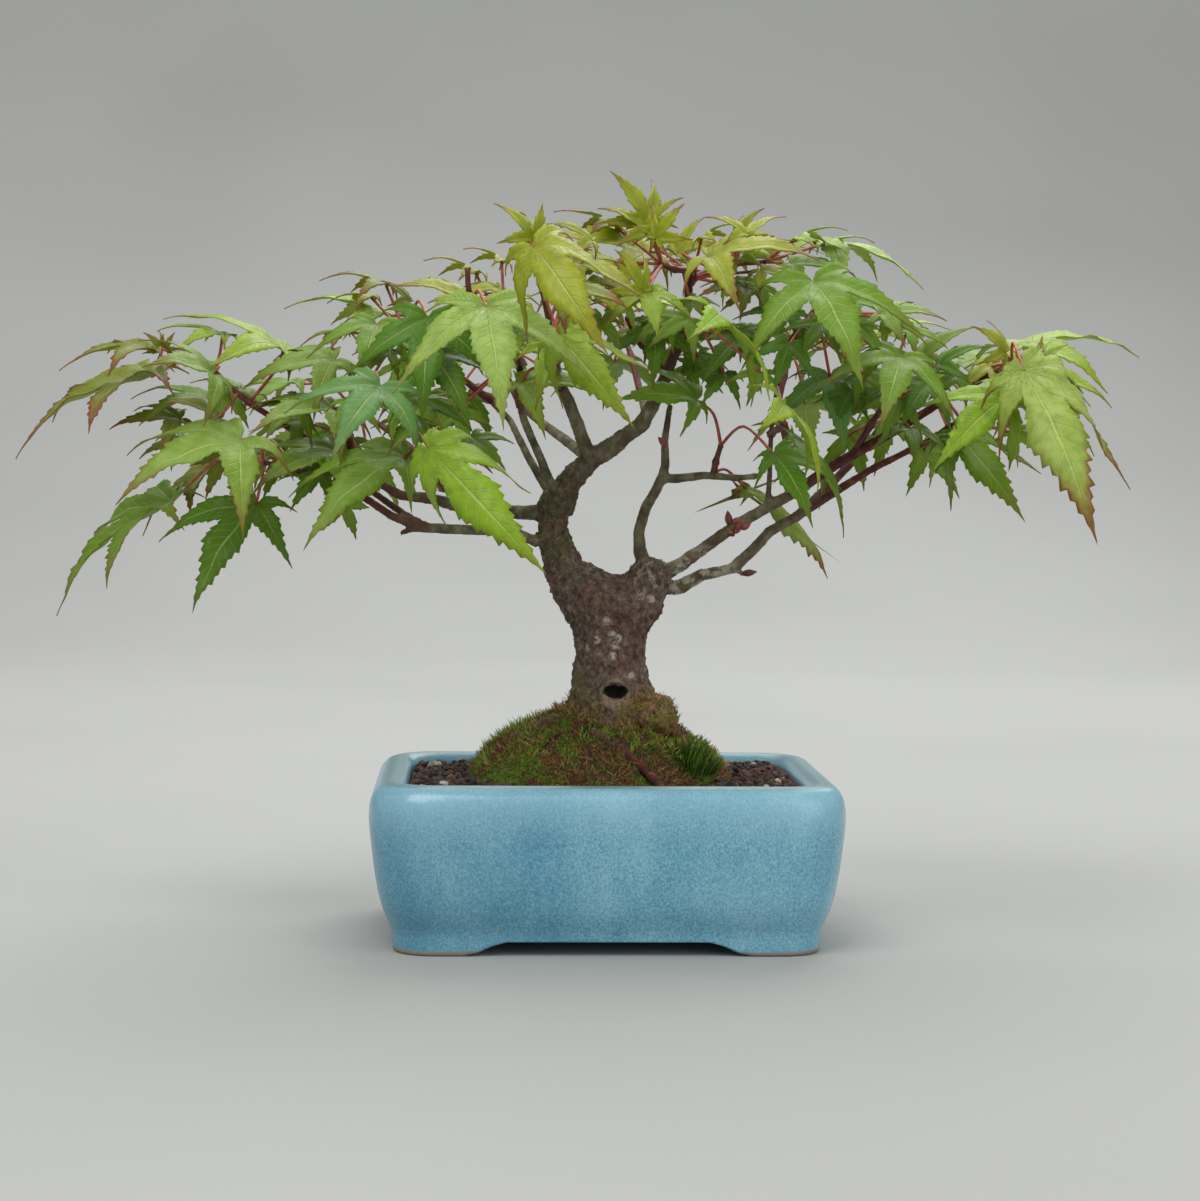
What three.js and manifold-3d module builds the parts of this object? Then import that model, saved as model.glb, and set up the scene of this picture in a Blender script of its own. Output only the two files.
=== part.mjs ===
// A small maple bonsai on a mossy mound in a glazed pot. Millimetres, +Z up, front towards -Y.
import * as THREE from 'three';
import { mergeVertices } from 'three/addons/utils/BufferGeometryUtils.js';
import Module from 'manifold-3d';

const wasm = await Module();
wasm.setup();

// ---- Driving dimensions ------------------------------------------------------------------

const potLength = 110;
const potDepth = 85.2;
const potCorner = 13.9;        // plan radius at the belly
const cornerShrink = 0.8;      // how fast the plan radius falls with the inset
const cornerSteps = 4;
const footHeight = 3.2;
const footWall = 7.4;          // thickness of the L-shaped feet
const archFront = [23, 33];    // half-length where the front arch starts to drop, and where it lands
const archSide = [15, 24];
const drainRadius = 6;
const drainOffset = 22;        // each drain hole's distance from the pot's middle
const gap = 0.3;               // clearance between separate pieces
const leafSeam = 0.04;         // splinters thinner than this along a join are smoothed away
const bodySeam = 0.15;
const finestWeld = 0.002;      // corners closer than this become one

// pot wall, from the foot over the lip to the inner floor: [inset from the belly, height]
const potProfile = [
  [5.6, 0], [5.2, 5.1], [4.3, 7.3], [2.8, 11], [1.4, 17.8], [0.2, 27.5], [0, 32], [0.4, 35.1], [1.5, 37.3],
  [3, 38.6], [5.1, 39.2], [6.7, 38.8], [8, 37.7], [8.7, 35.6], [9, 28], [10.2, 14], [12.5, 8.6], [16, 7.4],
];
const innerWallStart = 13;     // first row of the profile that faces the soil
const floorHeight = potProfile.at(-1)[1];

const meshSize = 17;
const meshThickness = 0.9;
const meshBar = 1.4;
const meshCells = 2;

const soilTop = 36.6;
const grainCount = 18;
const grainRadius = [1.1, 1.9];
const grainSquash = 0.8;
const grainRise = 0.25;        // how far a grain's middle stands above the bed, as a share of its radius
const grainMargin = 13;        // from the pot's outline to the outermost grains
const grainClear = 1.14;       // nearest a grain lies to the mound, as a share of the mound's radius

const moundCentre = new THREE.Vector2(-1, -1);
const moundHalf = new THREE.Vector2(31, 27);
const moundBottom = 36;
const moundPeak = 17.5;        // height of the cone over its skirt
const moundSkirt = 4.5;
const moundSides = 24;
const moundFoot = 1.3;         // height of the upright edge round the mound
const moundRows = [0.97, 0.83, 0.62, 0.38, 0.16];

const bladeThickness = 0.66;
const archRise = 0.09;         // a lobe's bow above the straight line from hub to tip
const cupDrop = 0.16;          // how far the side lobes hang below the blade's plane
const usualHang = 6;           // how far a blade's two halves fold down, in degrees, unless its row says
const hangStart = 0.36;        // the fold is complete this far out, as a share of the blade's length
const petioleHalf = 0.5;       // half the width of a petiole
const petioleBow = 0.12;       // how far it arches, as a share of its span
const shootRadius = [0.95, 0.6];
const sevenLobes = [[0, 1], [43, 0.84], [86, 0.56], [130, 0.27]];
const fiveLobes = [[0, 1], [54, 0.82], [108, 0.42]];
const smallLeaf = 36;          // a leaf shorter than this has five lobes
const tinyLeaf = 21;           // and one shorter than this has straight-edged lobes
const lobeWaist = 0.28;        // where the cuts between lobes end
const bladeHeart = 0.045;      // where the ribs meet, ahead of the petiole
const lobeBelly = [0.45, 0.14];    // place and half-width of a lobe's widest part

const slideSteps = [9, 3];     // how many steps a leaf may slide back or forward, and up or down
const slideBack = 1.6;
const slideRise = 1.2;
const strangerWeight = 1000;

// which way the upper side of a blade looks
const facings = {
  square: [0, -1, 0.05],
  front: [0.04, -0.8, 0.6],
  high: [0, -0.55, 0.83],
  up: [0, -0.15, 0.99],
  left: [-0.45, -0.25, 0.86],
  rightward: [0.86, -0.3, 0.42],
  back: [0, 0.6, 0.8],
};

// ---- The trunk and everything that grows from it: [x, y, z, radius] -----------------------

const trunk = [
  [3, 0, 24, 7], [2.6, 0, 32, 10], [2.4, 0, 38, 12.6], [2.6, 0, 44, 13.4], [2.6, 0, 50, 12.8],
  [2.3, 0, 55, 11.2], [2, 0, 60, 9.5], [1.7, 0, 65, 8.7], [1.5, 0, 70, 8.7], [1.5, 0, 75, 9.6],
  [1.6, 0, 79, 10.4], [2, 0, 81.6, 8.6], [2.4, 0, 83.6, 4.6],
];
const roots = [
  [[-2, -9, 50, 3.2], [-3, -14, 49, 2.3], [4.5, -19.5, 45, 1.7], [9.5, -24, 41, 1.5], [13, -27, 36.8, 1.2]],
  [[-5, -3, 51, 4.5], [-13, -6, 50, 3.2], [-21, -7, 46, 2.6], [-28, -8, 40, 1.8]],
  [[9, -3, 52, 5], [15, -5, 49, 3.6], [21, -4, 43, 2.6], [26, -3, 38, 1.6]],
  [[8, 5, 51, 4.4], [14, 12, 47, 3], [19, 18, 41, 1.8]],
  [[-4, 6, 51, 4.4], [-10, 13, 47, 3], [-17, 18, 41, 1.8]],
  [[-5, -8, 49, 3.4], [-12, -14.5, 45.6, 2.1], [-19, -19.5, 40, 1.5]],
];
const limbs = [
  [[0.4, 0, 76.9, 9], [-6.2, -1, 82.2, 7.2], [-9.7, -2, 87, 5.2], [-11.6, -3, 92.5, 4.2],
    [-12.4, -3, 97, 3.7], [-12.4, -4, 102, 3.8]],
  [[3.4, 0, 76.9, 8.6], [8.8, -1, 80.8, 7.2], [11.2, -2, 85.8, 4.9]],
];
const branches = {
  lowLeft: [[-9, -3, 97, 1.9], [-16.8, -5, 93.9, 1.7], [-22.8, -6, 96.3, 1.5], [-32.3, -7, 96.5, 1.45],
    [-43.6, -8, 96.9, 1.4], [-50.7, -8, 99.6, 1.2], [-57.8, -7, 104.3, 1.1], [-62.1, -7, 105.7, 1]],
  lowStub: [[-42, -8, 96.9, 1], [-46.4, -8, 96.4, 0.9], [-48.8, -8, 95.6, 0.8]],
  lowTwin: [[-41.6, -8, 96.9, 1.1], [-47.7, -6.4, 99.9, 1.1], [-54.8, -3, 104.8, 1],
    [-58.8, -2.4, 107.8, 0.9]],
  highLeft: [[-10, -4, 100.8, 2.4], [-18, -3, 100.8, 2], [-22.8, -2, 100.7, 1.9], [-29.9, -2, 99.9, 1.9],
    [-35.4, -3, 102.3, 1.8], [-42.1, -5, 103.9, 1.6], [-48.8, -8, 104.6, 1.4], [-54.9, -11, 108.1, 1.1]],
  frontLeft: [[-24.5, -3, 100.7, 1.5], [-30.9, -12, 102.7, 1.3], [-35.8, -20, 104.8, 1.1],
    [-38.5, -26, 106.5, 1]],
  thinOuter: [[-11.6, -3, 102, 1.4], [-18.1, 0, 113.2, 1.15], [-22.9, 3, 122.7, 1], [-27.7, 4, 127.5, 0.9]],
  thinInner: [[-11, -4, 102, 1.6], [-15.6, -8, 113.2, 1.25], [-19.8, -12, 122.5, 1.15],
    [-21.5, -14, 129, 1.05], [-20.6, -16, 135.7, 0.95]],
  crown: [[-11.5, -4, 101, 3.9], [-9, -3, 108, 3.4], [-4.3, -3, 112.6, 2.9], [-0.7, -3, 115, 2.7],
    [5.1, -4, 119.5, 2.3], [8.4, -5, 121.9, 2.2], [11.7, -5, 127.7, 1.9], [14.5, -5, 134.8, 1.6],
    [17.3, -5, 141.9, 1.4], [18.9, -4, 150.3, 1.15], [19.6, -4, 158.6, 1]],
  cutSpur: [[-3.8, -3, 113, 2.2], [-6.6, -6, 120.8, 1.9], [-9.3, -8, 127.4, 1.8], [-11.1, -10, 130.4, 1.6]],
  innerRise: [[10.4, -2, 86, 2.4], [8.3, -3, 91.2, 1.9], [7.9, -4, 96.2, 1.65], [9.5, -4, 102, 1.55],
    [12.2, -4, 106.7, 1.45], [14.2, -3, 112, 1.35], [14, -3, 118.2, 1.1], [15.4, 0, 126.8, 0.9]],
  innerReach: [[13.2, -4, 109, 1.4], [17.6, -5, 109.2, 1.3], [23.6, -5, 109.9, 1.2], [31.8, -6, 109.3, 1],
    [36, -7, 109.9, 0.9]],
  highRight: [[13, -3, 86, 2.2], [18.8, -4, 89, 1.9], [23.5, -5, 92.6, 1.7], [31.9, -7, 98.8, 1.6],
    [43.5, -9, 105.4, 1.6], [55, -11, 113.3, 1.5], [68.9, -13, 121.4, 1.3], [80, -14, 128.6, 1.1],
    [89.4, -14, 133.8, 1]],
  lowRight: [[12.5, -2, 83, 2.8], [17.4, -2, 82.8, 2.1], [23.2, -2, 86, 1.8], [30.4, -3, 87.6, 1.7],
    [34.6, -3, 91.3, 1.6], [39.4, -3, 96.6, 1.5], [45.6, -4, 100.2, 1.4], [63.1, -5, 111.5, 1.1],
    [79.1, -6, 119.7, 0.9]],
  dormantBud: [[31.2, -3, 87.6, 1], [33.4, -3.6, 86, 0.7]],
  redRiser: [[38.2, -8, 101.5, 1], [38.6, -8.6, 108.9, 0.85], [38.8, -9, 119.8, 0.8], [39.7, -9, 127.8, 0.75],
    [40.7, -10, 134.7, 0.7]],
  redTwig: [[14, -5, 133.6, 1.1], [10.9, -8, 137.7, 0.9], [7.5, -10, 140.4, 0.85], [3.8, -12, 147.1, 0.7]],
  rearLeft: [[-24.4, -2, 100.5, 1.6], [-32.4, 16, 105.8, 1.4], [-40.1, 34, 111.1, 1.2],
    [-44.8, 42, 114.1, 1]],
  rearMiddle: [[-3, -3, 113, 1.8], [-9.4, 12, 118.2, 1.5], [-16.3, 30, 123.8, 1.2], [-19.8, 37, 126.9, 1]],
  rearCentre: [[7.4, -5, 121.3, 1.6], [10.1, 8, 125.1, 1.3], [9.9, 25, 129.2, 1]],
  rearRight: [[43.6, -8.6, 105.4, 1.6], [46, 6, 111, 1.4], [46, 22, 119, 1.2], [44.7, 33, 127.2, 1]],
  rearTop: [[18.7, -4, 150.5, 1.1], [20.4, 6, 154.5, 0.95], [20.9, 13, 156.7, 0.85]],
  rearFar: [[45.6, -4, 100, 1.5], [56.7, 10, 109, 1.3], [66.4, 22, 117.7, 1.1], [69.7, 26, 122.3, 0.9]],
};
const burrs = [                // swellings of the bark: centre, half-sizes
  [[12, -8.5, 52.4], [5.6, 5, 5.8]],
  [[10.8, -2, 85.6], [5.2, 5.4, 4.8]],
  [[-11.6, -4, 103], [4.8, 4.6, 4.4]],
  [[3.2, -8.6, 77.6], [3.6, 2.2, 2]],
  [[-5.2, -6.2, 84], [3, 2.4, 3]],
  [[-14, -4, 94.6], [3.2, 3.4, 3]],
  [[3.4, -2, 83.4], [2.8, 3.4, 1.8]],
];
const knotHole = { at: [2.3, -10.2, 58.4], half: [3.3, 3, 1.8], lip: 0.7 };

// ---- Leafy sprays: the shoot's path, then each leaf's hub, main tip, facing and hang, and what
// ---- is kept of the side lobes' length to the left and right ------------------------------

const sprays = {
  far_left: [[[-59, -2.4, 108], [-70, -9, 117], [-84, -12, 126], [-92, -12, 133]], [
    [[-108, -12, 136], [-140, -22, 118], 'left', -8],
    [[-91, -26, 132], [-104, -44, 134], 'front'],
    [[-90, -5, 145], [-106, -2, 147], 'up'],
    [[-93, 12, 130], [-114, 22, 132], 'up'],
  ]],
  left_low: [[[-62, -7, 105.7], [-71, -14, 110], [-80, -20, 112]], [
    [[-84, -34, 117], [-110, -52, 104], 'high', 8],
    [[-101, -12, 121], [-117, -18, 119], 'high'],
    [[-82, -28, 106], [-96, -42, 82], 'high', 4, [0.7, 1]],
    [[-104, 6, 106], [-133, 4, 80], 'left', -10],
  ]],
  left_middle: [[[-54.9, -11, 108.1], [-60, -18, 116], [-60, -22, 124]], [
    [[-64, -32, 128], [-82, -50, 123], 'high'],
    [[-52, -40, 129], [-62, -58, 113], 'front', 8],
    [[-63, -26, 117], [-82, -42, 108], 'high'],
    [[-74, 10, 112], [-73, 12, 100], 'front'],
    [[-65, 24, 105], [-61, 26, 95], 'front'],
  ]],
  left_high: [[[-27.7, 4, 127.5], [-38, -4, 135], [-48, -10, 142]], [
    [[-52, -6, 151], [-77, -10, 154], 'up'],
    [[-54, -22, 144], [-57, -38, 130], 'front'],
    [[-42, 2, 146], [-51, -10, 137], 'high'],
    [[-47, 10, 139], [-58, 14, 134], 'high'],
  ]],
  front_left: [[[-38.5, -26, 106.5], [-41, -34, 111], [-44, -38, 114]], [
    [[-47, -44, 117], [-69, -66, 98], 'high', 6, [0.5, 0.9]],
    [[-41, -60, 115], [-16, -76, 89], 'square', 50, [0.7, 0.5]],
    [[-43, -20, 127], [-41, -28, 113], 'front'],
    [[-37, -12, 118], [-26, -6, 122], 'high'],
  ]],
  front_big: [[[-20.6, -16, 135.7], [-25, -34, 141], [-32, -50, 148], [-33, -52, 155]], [
    [[-29, -66, 146], [-25, -86, 120], 'front', 10],
    [[-32, -40, 151], [-49, -48, 155], 'high'],
    [[-41, -30, 137], [-32, -44, 121], 'front', 10],
  ]],
  front_high: [[[-11.1, -10, 130.4], [-14, -36, 141], [-17, -56, 151]], [
    [[-19, -74, 158], [-4, -92, 135], 'square', 40, [0.9, 0.7]],
    [[-15, -24, 140], [0, -32, 128], 'high'],
    [[-13, -50, 144], [3, -66, 124], 'square', 44, [0.9, 0.6]],
    [[-6, -34, 153], [2, -44, 144], 'high'],
  ]],
  top_left: [[[19.6, -4, 158.6], [15, -14, 158], [12, -16, 159]], [
    [[9, -22, 166], [-17, -30, 168], 'high'],
    [[7, -40, 151], [9, -52, 140], 'front', 10],
    [[0, -4, 163], [-14, -2, 166], 'up'],
    [[13, 10, 164], [4, 18, 161], 'up'],
    [[9, -30, 165], [0, -32, 177], 'front'],
  ]],
  top_right: [[[19.2, -4, 156], [28, 0, 160], [38, 0, 161]], [
    [[22, -26, 160], [46, -38, 160], 'high'],
    [[51, 4, 166], [76, -4, 156], 'up'],
    [[32, 8, 152], [44, 16, 152], 'up'],
    [[31, 12, 168], [43, 18, 177], 'up'],
  ]],
  right_high: [[[40.7, -10, 134.7], [43, -16, 142], [47, -22, 148]], [
    [[45, -36, 154], [54, -58, 130], 'front', 8],
    [[52, -28, 137], [54, -42, 119], 'front', 6],
    [[62, -10, 144], [77, -14, 143], 'high'],
    [[46, 10, 150], [33, 14, 149], 'up'],
    [[57, 0, 151], [56, -4, 138], 'front'],
  ]],
  inner_right: [[[17.3, -5, 141.9], [20, -12, 144], [22, -20, 145]], [
    [[22, -44, 145], [34, -60, 127], 'rightward', 8],
    [[11, -12, 145], [10, -20, 130], 'front', 8],
    [[31, -6, 140], [21, -16, 129], 'front', 8],
    [[11, 12, 141], [-2, 8, 137], 'high'],
    [[21, 16, 140], [20, 14, 128], 'front'],
  ]],
  middle_star: [[[25.6, -5, 110], [26, -6, 113], [27, -8, 117]], [
    [[21, -26, 124], [1, -36, 124], 'front', 6, [0.6, 0.9]],
    [[37, -32, 115], [45, -44, 99], 'front', 16, [1, 0.5]],
  ]],
  right_star: [[[38.8, -9, 119.8], [40, -14, 121], [41, -19, 122]], [
    [[37, -46, 126], [45, -58, 107], 'rightward', 6],
    [[43, -18, 123], [56, -28, 100], 'rightward', 6],
  ]],
  right_middle: [[[58, -11.5, 115], [62, -12, 122], [65, -14, 127]], [
    [[65, -38, 137], [58, -56, 121], 'front', 8],
    [[78, 6, 140], [91, 12, 144], 'high'],
    [[70, 12, 125], [66, 8, 110], 'front', 8],
    [[71, -24, 125], [70, -36, 117], 'front'],
    [[59, 18, 124], [63, 16, 110], 'front'],
  ]],
  far_right: [[[89.4, -14, 133.8], [92, -18, 135.2], [93.4, -22, 136.4]], [
    [[91, -48, 134], [103, -72, 97], 'square', 44, [0.9, 0.5]],
    [[96, -12, 139], [129, -6, 140], 'up'],
    [[90, -28, 134], [92, -38, 124], 'front'],
    [[99, -22, 138], [101, -22, 147], 'front'],
  ]],
  right_low: [[[79.1, -6, 119.7], [81, -10, 121.8], [83.4, -14, 123.3]], [
    [[82, -28, 124], [96, -42, 104], 'square', 44, [1, 0.75]],
    [[89, -36, 128], [71, -48, 112], 'front', 14, [0.7, 0.9]],
    [[76, -12, 134], [88, -16, 143], 'high'],
    [[110, 6, 126], [123, 12, 120], 'up', 8],
    [[78, 10, 117], [87, 6, 105], 'front'],
  ]],
  rear_left: [[[-44.8, 42, 114.1], [-54, 46, 121], [-63, 50, 126]], [
    [[-70, 56, 122], [-91, 70, 118], 'back'],
    [[-76, 40, 132], [-97, 44, 128], 'up'],
    [[-57, 56, 136], [-73, 72, 141], 'back'],
    [[-59, 62, 116], [-69, 78, 104], 'back'],
  ]],
  rear_middle: [[[-19.8, 37, 126.9], [-24, 44, 136], [-27, 48, 143]], [
    [[-34, 48, 143], [-49, 58, 148], 'up'],
    [[-25, 36, 152], [-40, 42, 154], 'up'],
    [[-16, 58, 146], [-19, 86, 145], 'back'],
    [[-37, 60, 133], [-43, 76, 123], 'back'],
  ]],
  rear_centre: [[[9.9, 25, 129.2], [8, 34, 139], [6, 40, 146]], [
    [[-2, 38, 154], [-9, 60, 155], 'back'],
    [[13, 44, 156], [20, 72, 156], 'back'],
    [[4, 54, 142], [2, 74, 131], 'back'],
  ]],
  rear_top: [[[20.9, 13, 156.7], [25, 22, 160], [28, 26, 161]], [
    [[25, 36, 164], [22, 62, 162], 'back'],
    [[36, 34, 164], [50, 54, 164], 'back'],
    [[16, 30, 163], [2, 44, 163], 'up'],
  ]],
  rear_right: [[[44.7, 33, 127.2], [47, 38, 135], [49, 42, 142]], [
    [[42, 44, 147], [37, 66, 143], 'back'],
    [[58, 46, 146], [71, 66, 149], 'back'],
    [[53, 54, 132], [57, 74, 119], 'back'],
  ]],
  rear_far_right: [[[69.7, 26, 122.3], [77, 30, 128], [83, 32, 133]], [
    [[77, 42, 135], [86, 66, 132], 'back'],
    [[89, 26, 139], [107, 40, 142], 'up'],
    [[67, 24, 143], [79, 46, 148], 'back'],
    [[92, 36, 124], [107, 52, 118], 'back'],
  ]],
};

// ---- Solid helpers -----------------------------------------------------------------------

const turn = Math.PI * 2;
const radians = THREE.MathUtils.degToRad;
const vector = (place) => new THREE.Vector3(...place);

function solidOf(geometry, weld = 1e-4) {
  const bare = geometry.clone();
  bare.deleteAttribute('normal');
  bare.deleteAttribute('uv');
  const merged = mergeVertices(bare, weld);
  return new wasm.Manifold(new wasm.Mesh({
    numProp: 3,
    vertProperties: new Float32Array(merged.attributes.position.array),
    triVerts: new Uint32Array(merged.index.array),
  }));
}

function geometryOf(solid) {
  const mesh = solid.getMesh();
  const geometry = new THREE.BufferGeometry();
  geometry.setAttribute('position', new THREE.BufferAttribute(new Float32Array(mesh.vertProperties), 3));
  geometry.setIndex(new THREE.BufferAttribute(new Uint32Array(mesh.triVerts), 1));
  return geometry;
}

const joined = (solids) => solids.reduce((whole, next) => whole.add(next));

function largestOf(solid) {
  return solid.decompose().reduce((best, next) => (next.volume() > best.volume() ? next : best));
}

// closes a stack of equal rings into one body, with a fan over each end
function skin(rings) {
  const count = rings[0].length;
  const middles = [rings[0], rings.at(-1)].map((ring) => (
    ring.reduce((sum, point) => sum.add(point), new THREE.Vector3()).divideScalar(count)));
  const points = [...rings.flat(), ...middles];
  const [lowMiddle, highMiddle] = [points.length - 2, points.length - 1];
  const lastRow = (rings.length - 1) * count;
  const index = [];
  for (let j = 0; j < count; j += 1) {
    const k = (j + 1) % count;
    for (let row = 0; row < lastRow; row += count) {
      index.push(row + j, row + k, row + count + k, row + j, row + count + k, row + count + j);
    }
    index.push(lowMiddle, k, j, highMiddle, lastRow + j, lastRow + k);
  }
  const geometry = new THREE.BufferGeometry().setFromPoints(points);
  geometry.setIndex(index);
  return geometry;
}

// a round limb through [x, y, z, radius] stations, optionally ridged by a bark rule
function limb(stations, { sides = 6, perSpan = 2, grow = 0, bark = () => 1 } = {}) {
  const points = stations.map(([x, y, z]) => new THREE.Vector3(x, y, z));
  const curve = new THREE.CatmullRomCurve3(points, false, 'centripetal');
  const steps = (stations.length - 1) * perSpan;
  const frames = curve.computeFrenetFrames(steps);
  const rings = [];
  for (let i = 0; i <= steps; i += 1) {
    const u = i / steps;
    const place = u * (stations.length - 1);
    const low = Math.min(Math.floor(place), stations.length - 2);
    const radius = THREE.MathUtils.lerp(stations[low][3], stations[low + 1][3], place - low) + grow;
    const centre = curve.getPoint(u);
    const ring = [];
    for (let j = 0; j < sides; j += 1) {
      const angle = (j / sides) * turn;
      const reach = radius * bark(angle, centre);
      ring.push(centre.clone()
        .addScaledVector(frames.normals[i], Math.cos(angle) * reach)
        .addScaledVector(frames.binormals[i], Math.sin(angle) * reach));
    }
    rings.push(ring);
  }
  const first = frames.tangents[0].clone().multiplyScalar(-grow);
  const last = frames.tangents[steps].clone().multiplyScalar(grow);
  rings[0].forEach((point) => point.add(first));
  rings.at(-1).forEach((point) => point.add(last));
  return solidOf(skin(rings));
}

function lump(centre, half, detail = 1, grow = 0) {
  const geometry = new THREE.IcosahedronGeometry(1, detail);
  geometry.scale(half[0] + grow, half[1] + grow, half[2] + grow);
  geometry.translate(...centre);
  return solidOf(geometry);
}

function seeded(seed) {
  let state = seed;
  return () => {
    state = (state * 16807) % 2147483647;
    return state / 2147483647;
  };
}

// ---- Pot, drain meshes and soil ----------------------------------------------------------

function plan(inset, height) {
  const halfLength = potLength / 2 - inset;
  const halfDepth = potDepth / 2 - inset;
  const radius = Math.max(potCorner - cornerShrink * inset, 1.5);
  const ring = [];
  for (let corner = 0; corner < 4; corner += 1) {
    const centreX = (corner === 0 || corner === 3 ? 1 : -1) * (halfLength - radius);
    const centreY = (corner < 2 ? 1 : -1) * (halfDepth - radius);
    for (let step = 0; step <= cornerSteps; step += 1) {
      const angle = (corner + step / cornerSteps) * (Math.PI / 2);
      const x = centreX + radius * Math.cos(angle);
      const y = centreY + radius * Math.sin(angle);
      ring.push(new THREE.Vector3(x, y, height));
    }
  }
  return ring;
}

// the space under the body between two feet: flat on top, with an S-curve down to each foot
function archSpace([flatHalf, footHalf], reach) {
  const shape = new THREE.Shape();
  shape.moveTo(-footHalf, -1);
  shape.lineTo(footHalf, -1);
  shape.lineTo(footHalf, 0);
  shape.bezierCurveTo(footHalf - 3, footHeight * 0.15, flatHalf + 4, footHeight, flatHalf, footHeight);
  shape.lineTo(-flatHalf, footHeight);
  shape.bezierCurveTo(-flatHalf - 4, footHeight, -footHalf + 3, footHeight * 0.15, -footHalf, 0);
  const geometry = new THREE.ExtrudeGeometry(shape, { depth: reach, bevelEnabled: false, curveSegments: 5 });
  geometry.translate(0, 0, -reach / 2);
  geometry.rotateX(Math.PI / 2);
  return geometry;
}

function drainHole(x) {
  const geometry = new THREE.CylinderGeometry(drainRadius, drainRadius, floorHeight * 2, 16);
  geometry.rotateX(Math.PI / 2);
  geometry.translate(x, 0, floorHeight);
  return solidOf(geometry);
}

function potSolid() {
  const body = solidOf(skin(potProfile.map(([inset, height]) => plan(inset, height))));
  const front = solidOf(archSpace(archFront, potDepth + 2));
  const side = solidOf(archSpace(archSide, potLength + 2).rotateZ(Math.PI / 2));
  const inset = potProfile[0][0] + footWall;
  const under = solidOf(skin([plan(inset, -1), plan(inset, footHeight)]));
  return body.subtract(joined([front, side, under, drainHole(-drainOffset), drainHole(drainOffset)]));
}

function plate(x, width, height, base) {
  const geometry = new THREE.BoxGeometry(width, width, height);
  geometry.translate(x, 0, base + height / 2);
  return solidOf(geometry);
}

function drainMesh(x) {
  const pitch = (meshSize - meshBar) / meshCells;
  const opening = plate(0, pitch - meshBar, meshThickness * 3, -meshThickness);
  const steps = Array.from({ length: meshCells }, (_, i) => (i - (meshCells - 1) / 2) * pitch);
  const openings = steps.flatMap((across) => steps.map((along) => opening.translate(across, along, 0)));
  const screen = plate(0, meshSize, meshThickness, 0).subtract(joined(openings));
  return screen.translate(x, 0, floorHeight + gap);
}

function meshPocket(x) {
  const height = meshThickness + gap * 3;
  return plate(x, meshSize + gap * 2, height, floorHeight);
}

// grains lie where the soil shows: outside the mound and clear of the wall
function grains() {
  const draw = seeded(41);
  const reach = new THREE.Vector2(potLength / 2 - grainMargin, potDepth / 2 - grainMargin);
  const found = [];
  while (found.length < grainCount) {
    const spot = new THREE.Vector2(draw() * 2 - 1, draw() * 2 - 1).multiply(reach);
    const radius = THREE.MathUtils.lerp(...grainRadius, draw());
    const fromMound = spot.clone().sub(moundCentre).divide(moundHalf).length();
    const crowded = found.some((grain) => grain.spot.distanceTo(spot) < grain.radius + radius);
    if (fromMound > grainClear && !crowded) {
      found.push({ spot, radius });
    }
  }
  return found.map(({ spot, radius }) => {
    const geometry = new THREE.IcosahedronGeometry(radius, 0);
    geometry.rotateX(draw() * turn);
    geometry.rotateZ(draw() * turn);
    geometry.scale(1, 1, grainSquash);
    geometry.translate(spot.x, spot.y, soilTop + radius * grainRise);
    return solidOf(geometry);
  });
}

function soilSolid(rootsGrown) {
  const wall = potProfile.slice(innerWallStart).reverse()
    .map(([inset, height]) => plan(inset + gap, Math.min(height + gap, soilTop)));
  const bed = solidOf(skin([...wall, plan(potProfile[innerWallStart][0] + gap, soilTop)]));
  const share = 1 + gap / moundHalf.y;
  const levels = [moundBottom - gap, moundBottom + moundPeak];
  const recess = solidOf(skin(levels.map((level) => moundOutline(share, level))));
  const pockets = [meshPocket(-drainOffset), meshPocket(drainOffset)];
  return largestOf(joined([bed, ...grains()]).subtract(joined([recess, rootsGrown, ...pockets])));
}

// ---- Moss mound --------------------------------------------------------------------------

function moundOutline(share, level, relief = () => 0) {
  return Array.from({ length: moundSides }, (_, j) => {
    const angle = (j / moundSides) * turn;
    const wave = 1 + 0.04 * Math.sin(angle * 2 + 1) + 0.03 * Math.sin(angle * 5 + 0.4);
    const x = moundCentre.x + moundHalf.x * share * wave * Math.cos(angle);
    const y = moundCentre.y + moundHalf.y * share * wave * Math.sin(angle);
    return new THREE.Vector3(x, y, level + relief(share, angle));
  });
}

// a cone that ends in a rounded skirt, with lumps that fade out at the rim and at the trunk
function moundRelief(share, angle) {
  const cone = moundPeak * (1 - share);
  const skirt = moundSkirt * (1 - share ** 10);
  const lumps = 0.9 * Math.sin(angle * 3 + share * 7) + 0.6 * Math.sin(angle * 7 - share * 9);
  return cone + skirt + lumps * share * (1 - share ** 6);
}

function moundSolid(rootsGrown) {
  const level = moundBottom + moundFoot;
  const slope = moundRows.map((share) => moundOutline(share, level, moundRelief));
  const rings = [moundOutline(1, moundBottom), moundOutline(1, level), ...slope];
  return largestOf(solidOf(skin(rings)).subtract(rootsGrown));
}

// ---- Tree --------------------------------------------------------------------------------

// old bark: shallow flutes that deepen towards the roots
function barkRelief(angle, centre) {
  const flare = THREE.MathUtils.clamp((62 - centre.z) / 20, 0, 1);
  const flutes = (0.03 + 0.05 * flare) * Math.sin(angle * 5 + centre.z * 0.05);
  const ridges = 0.035 * Math.sin(angle * 3 + centre.z * 0.21);
  return 1 + flutes + ridges + 0.02 * Math.sin(angle * 7 - centre.z * 0.4);
}

function rootStock(grow) {
  const stem = limb(trunk, { sides: 14, perSpan: 1, grow, bark: barkRelief });
  const spread = roots.map((root) => limb(root, { sides: 5, perSpan: 1, grow }));
  return joined([stem, ...spread, lump(...burrs[0], 1, grow)]);
}

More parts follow.
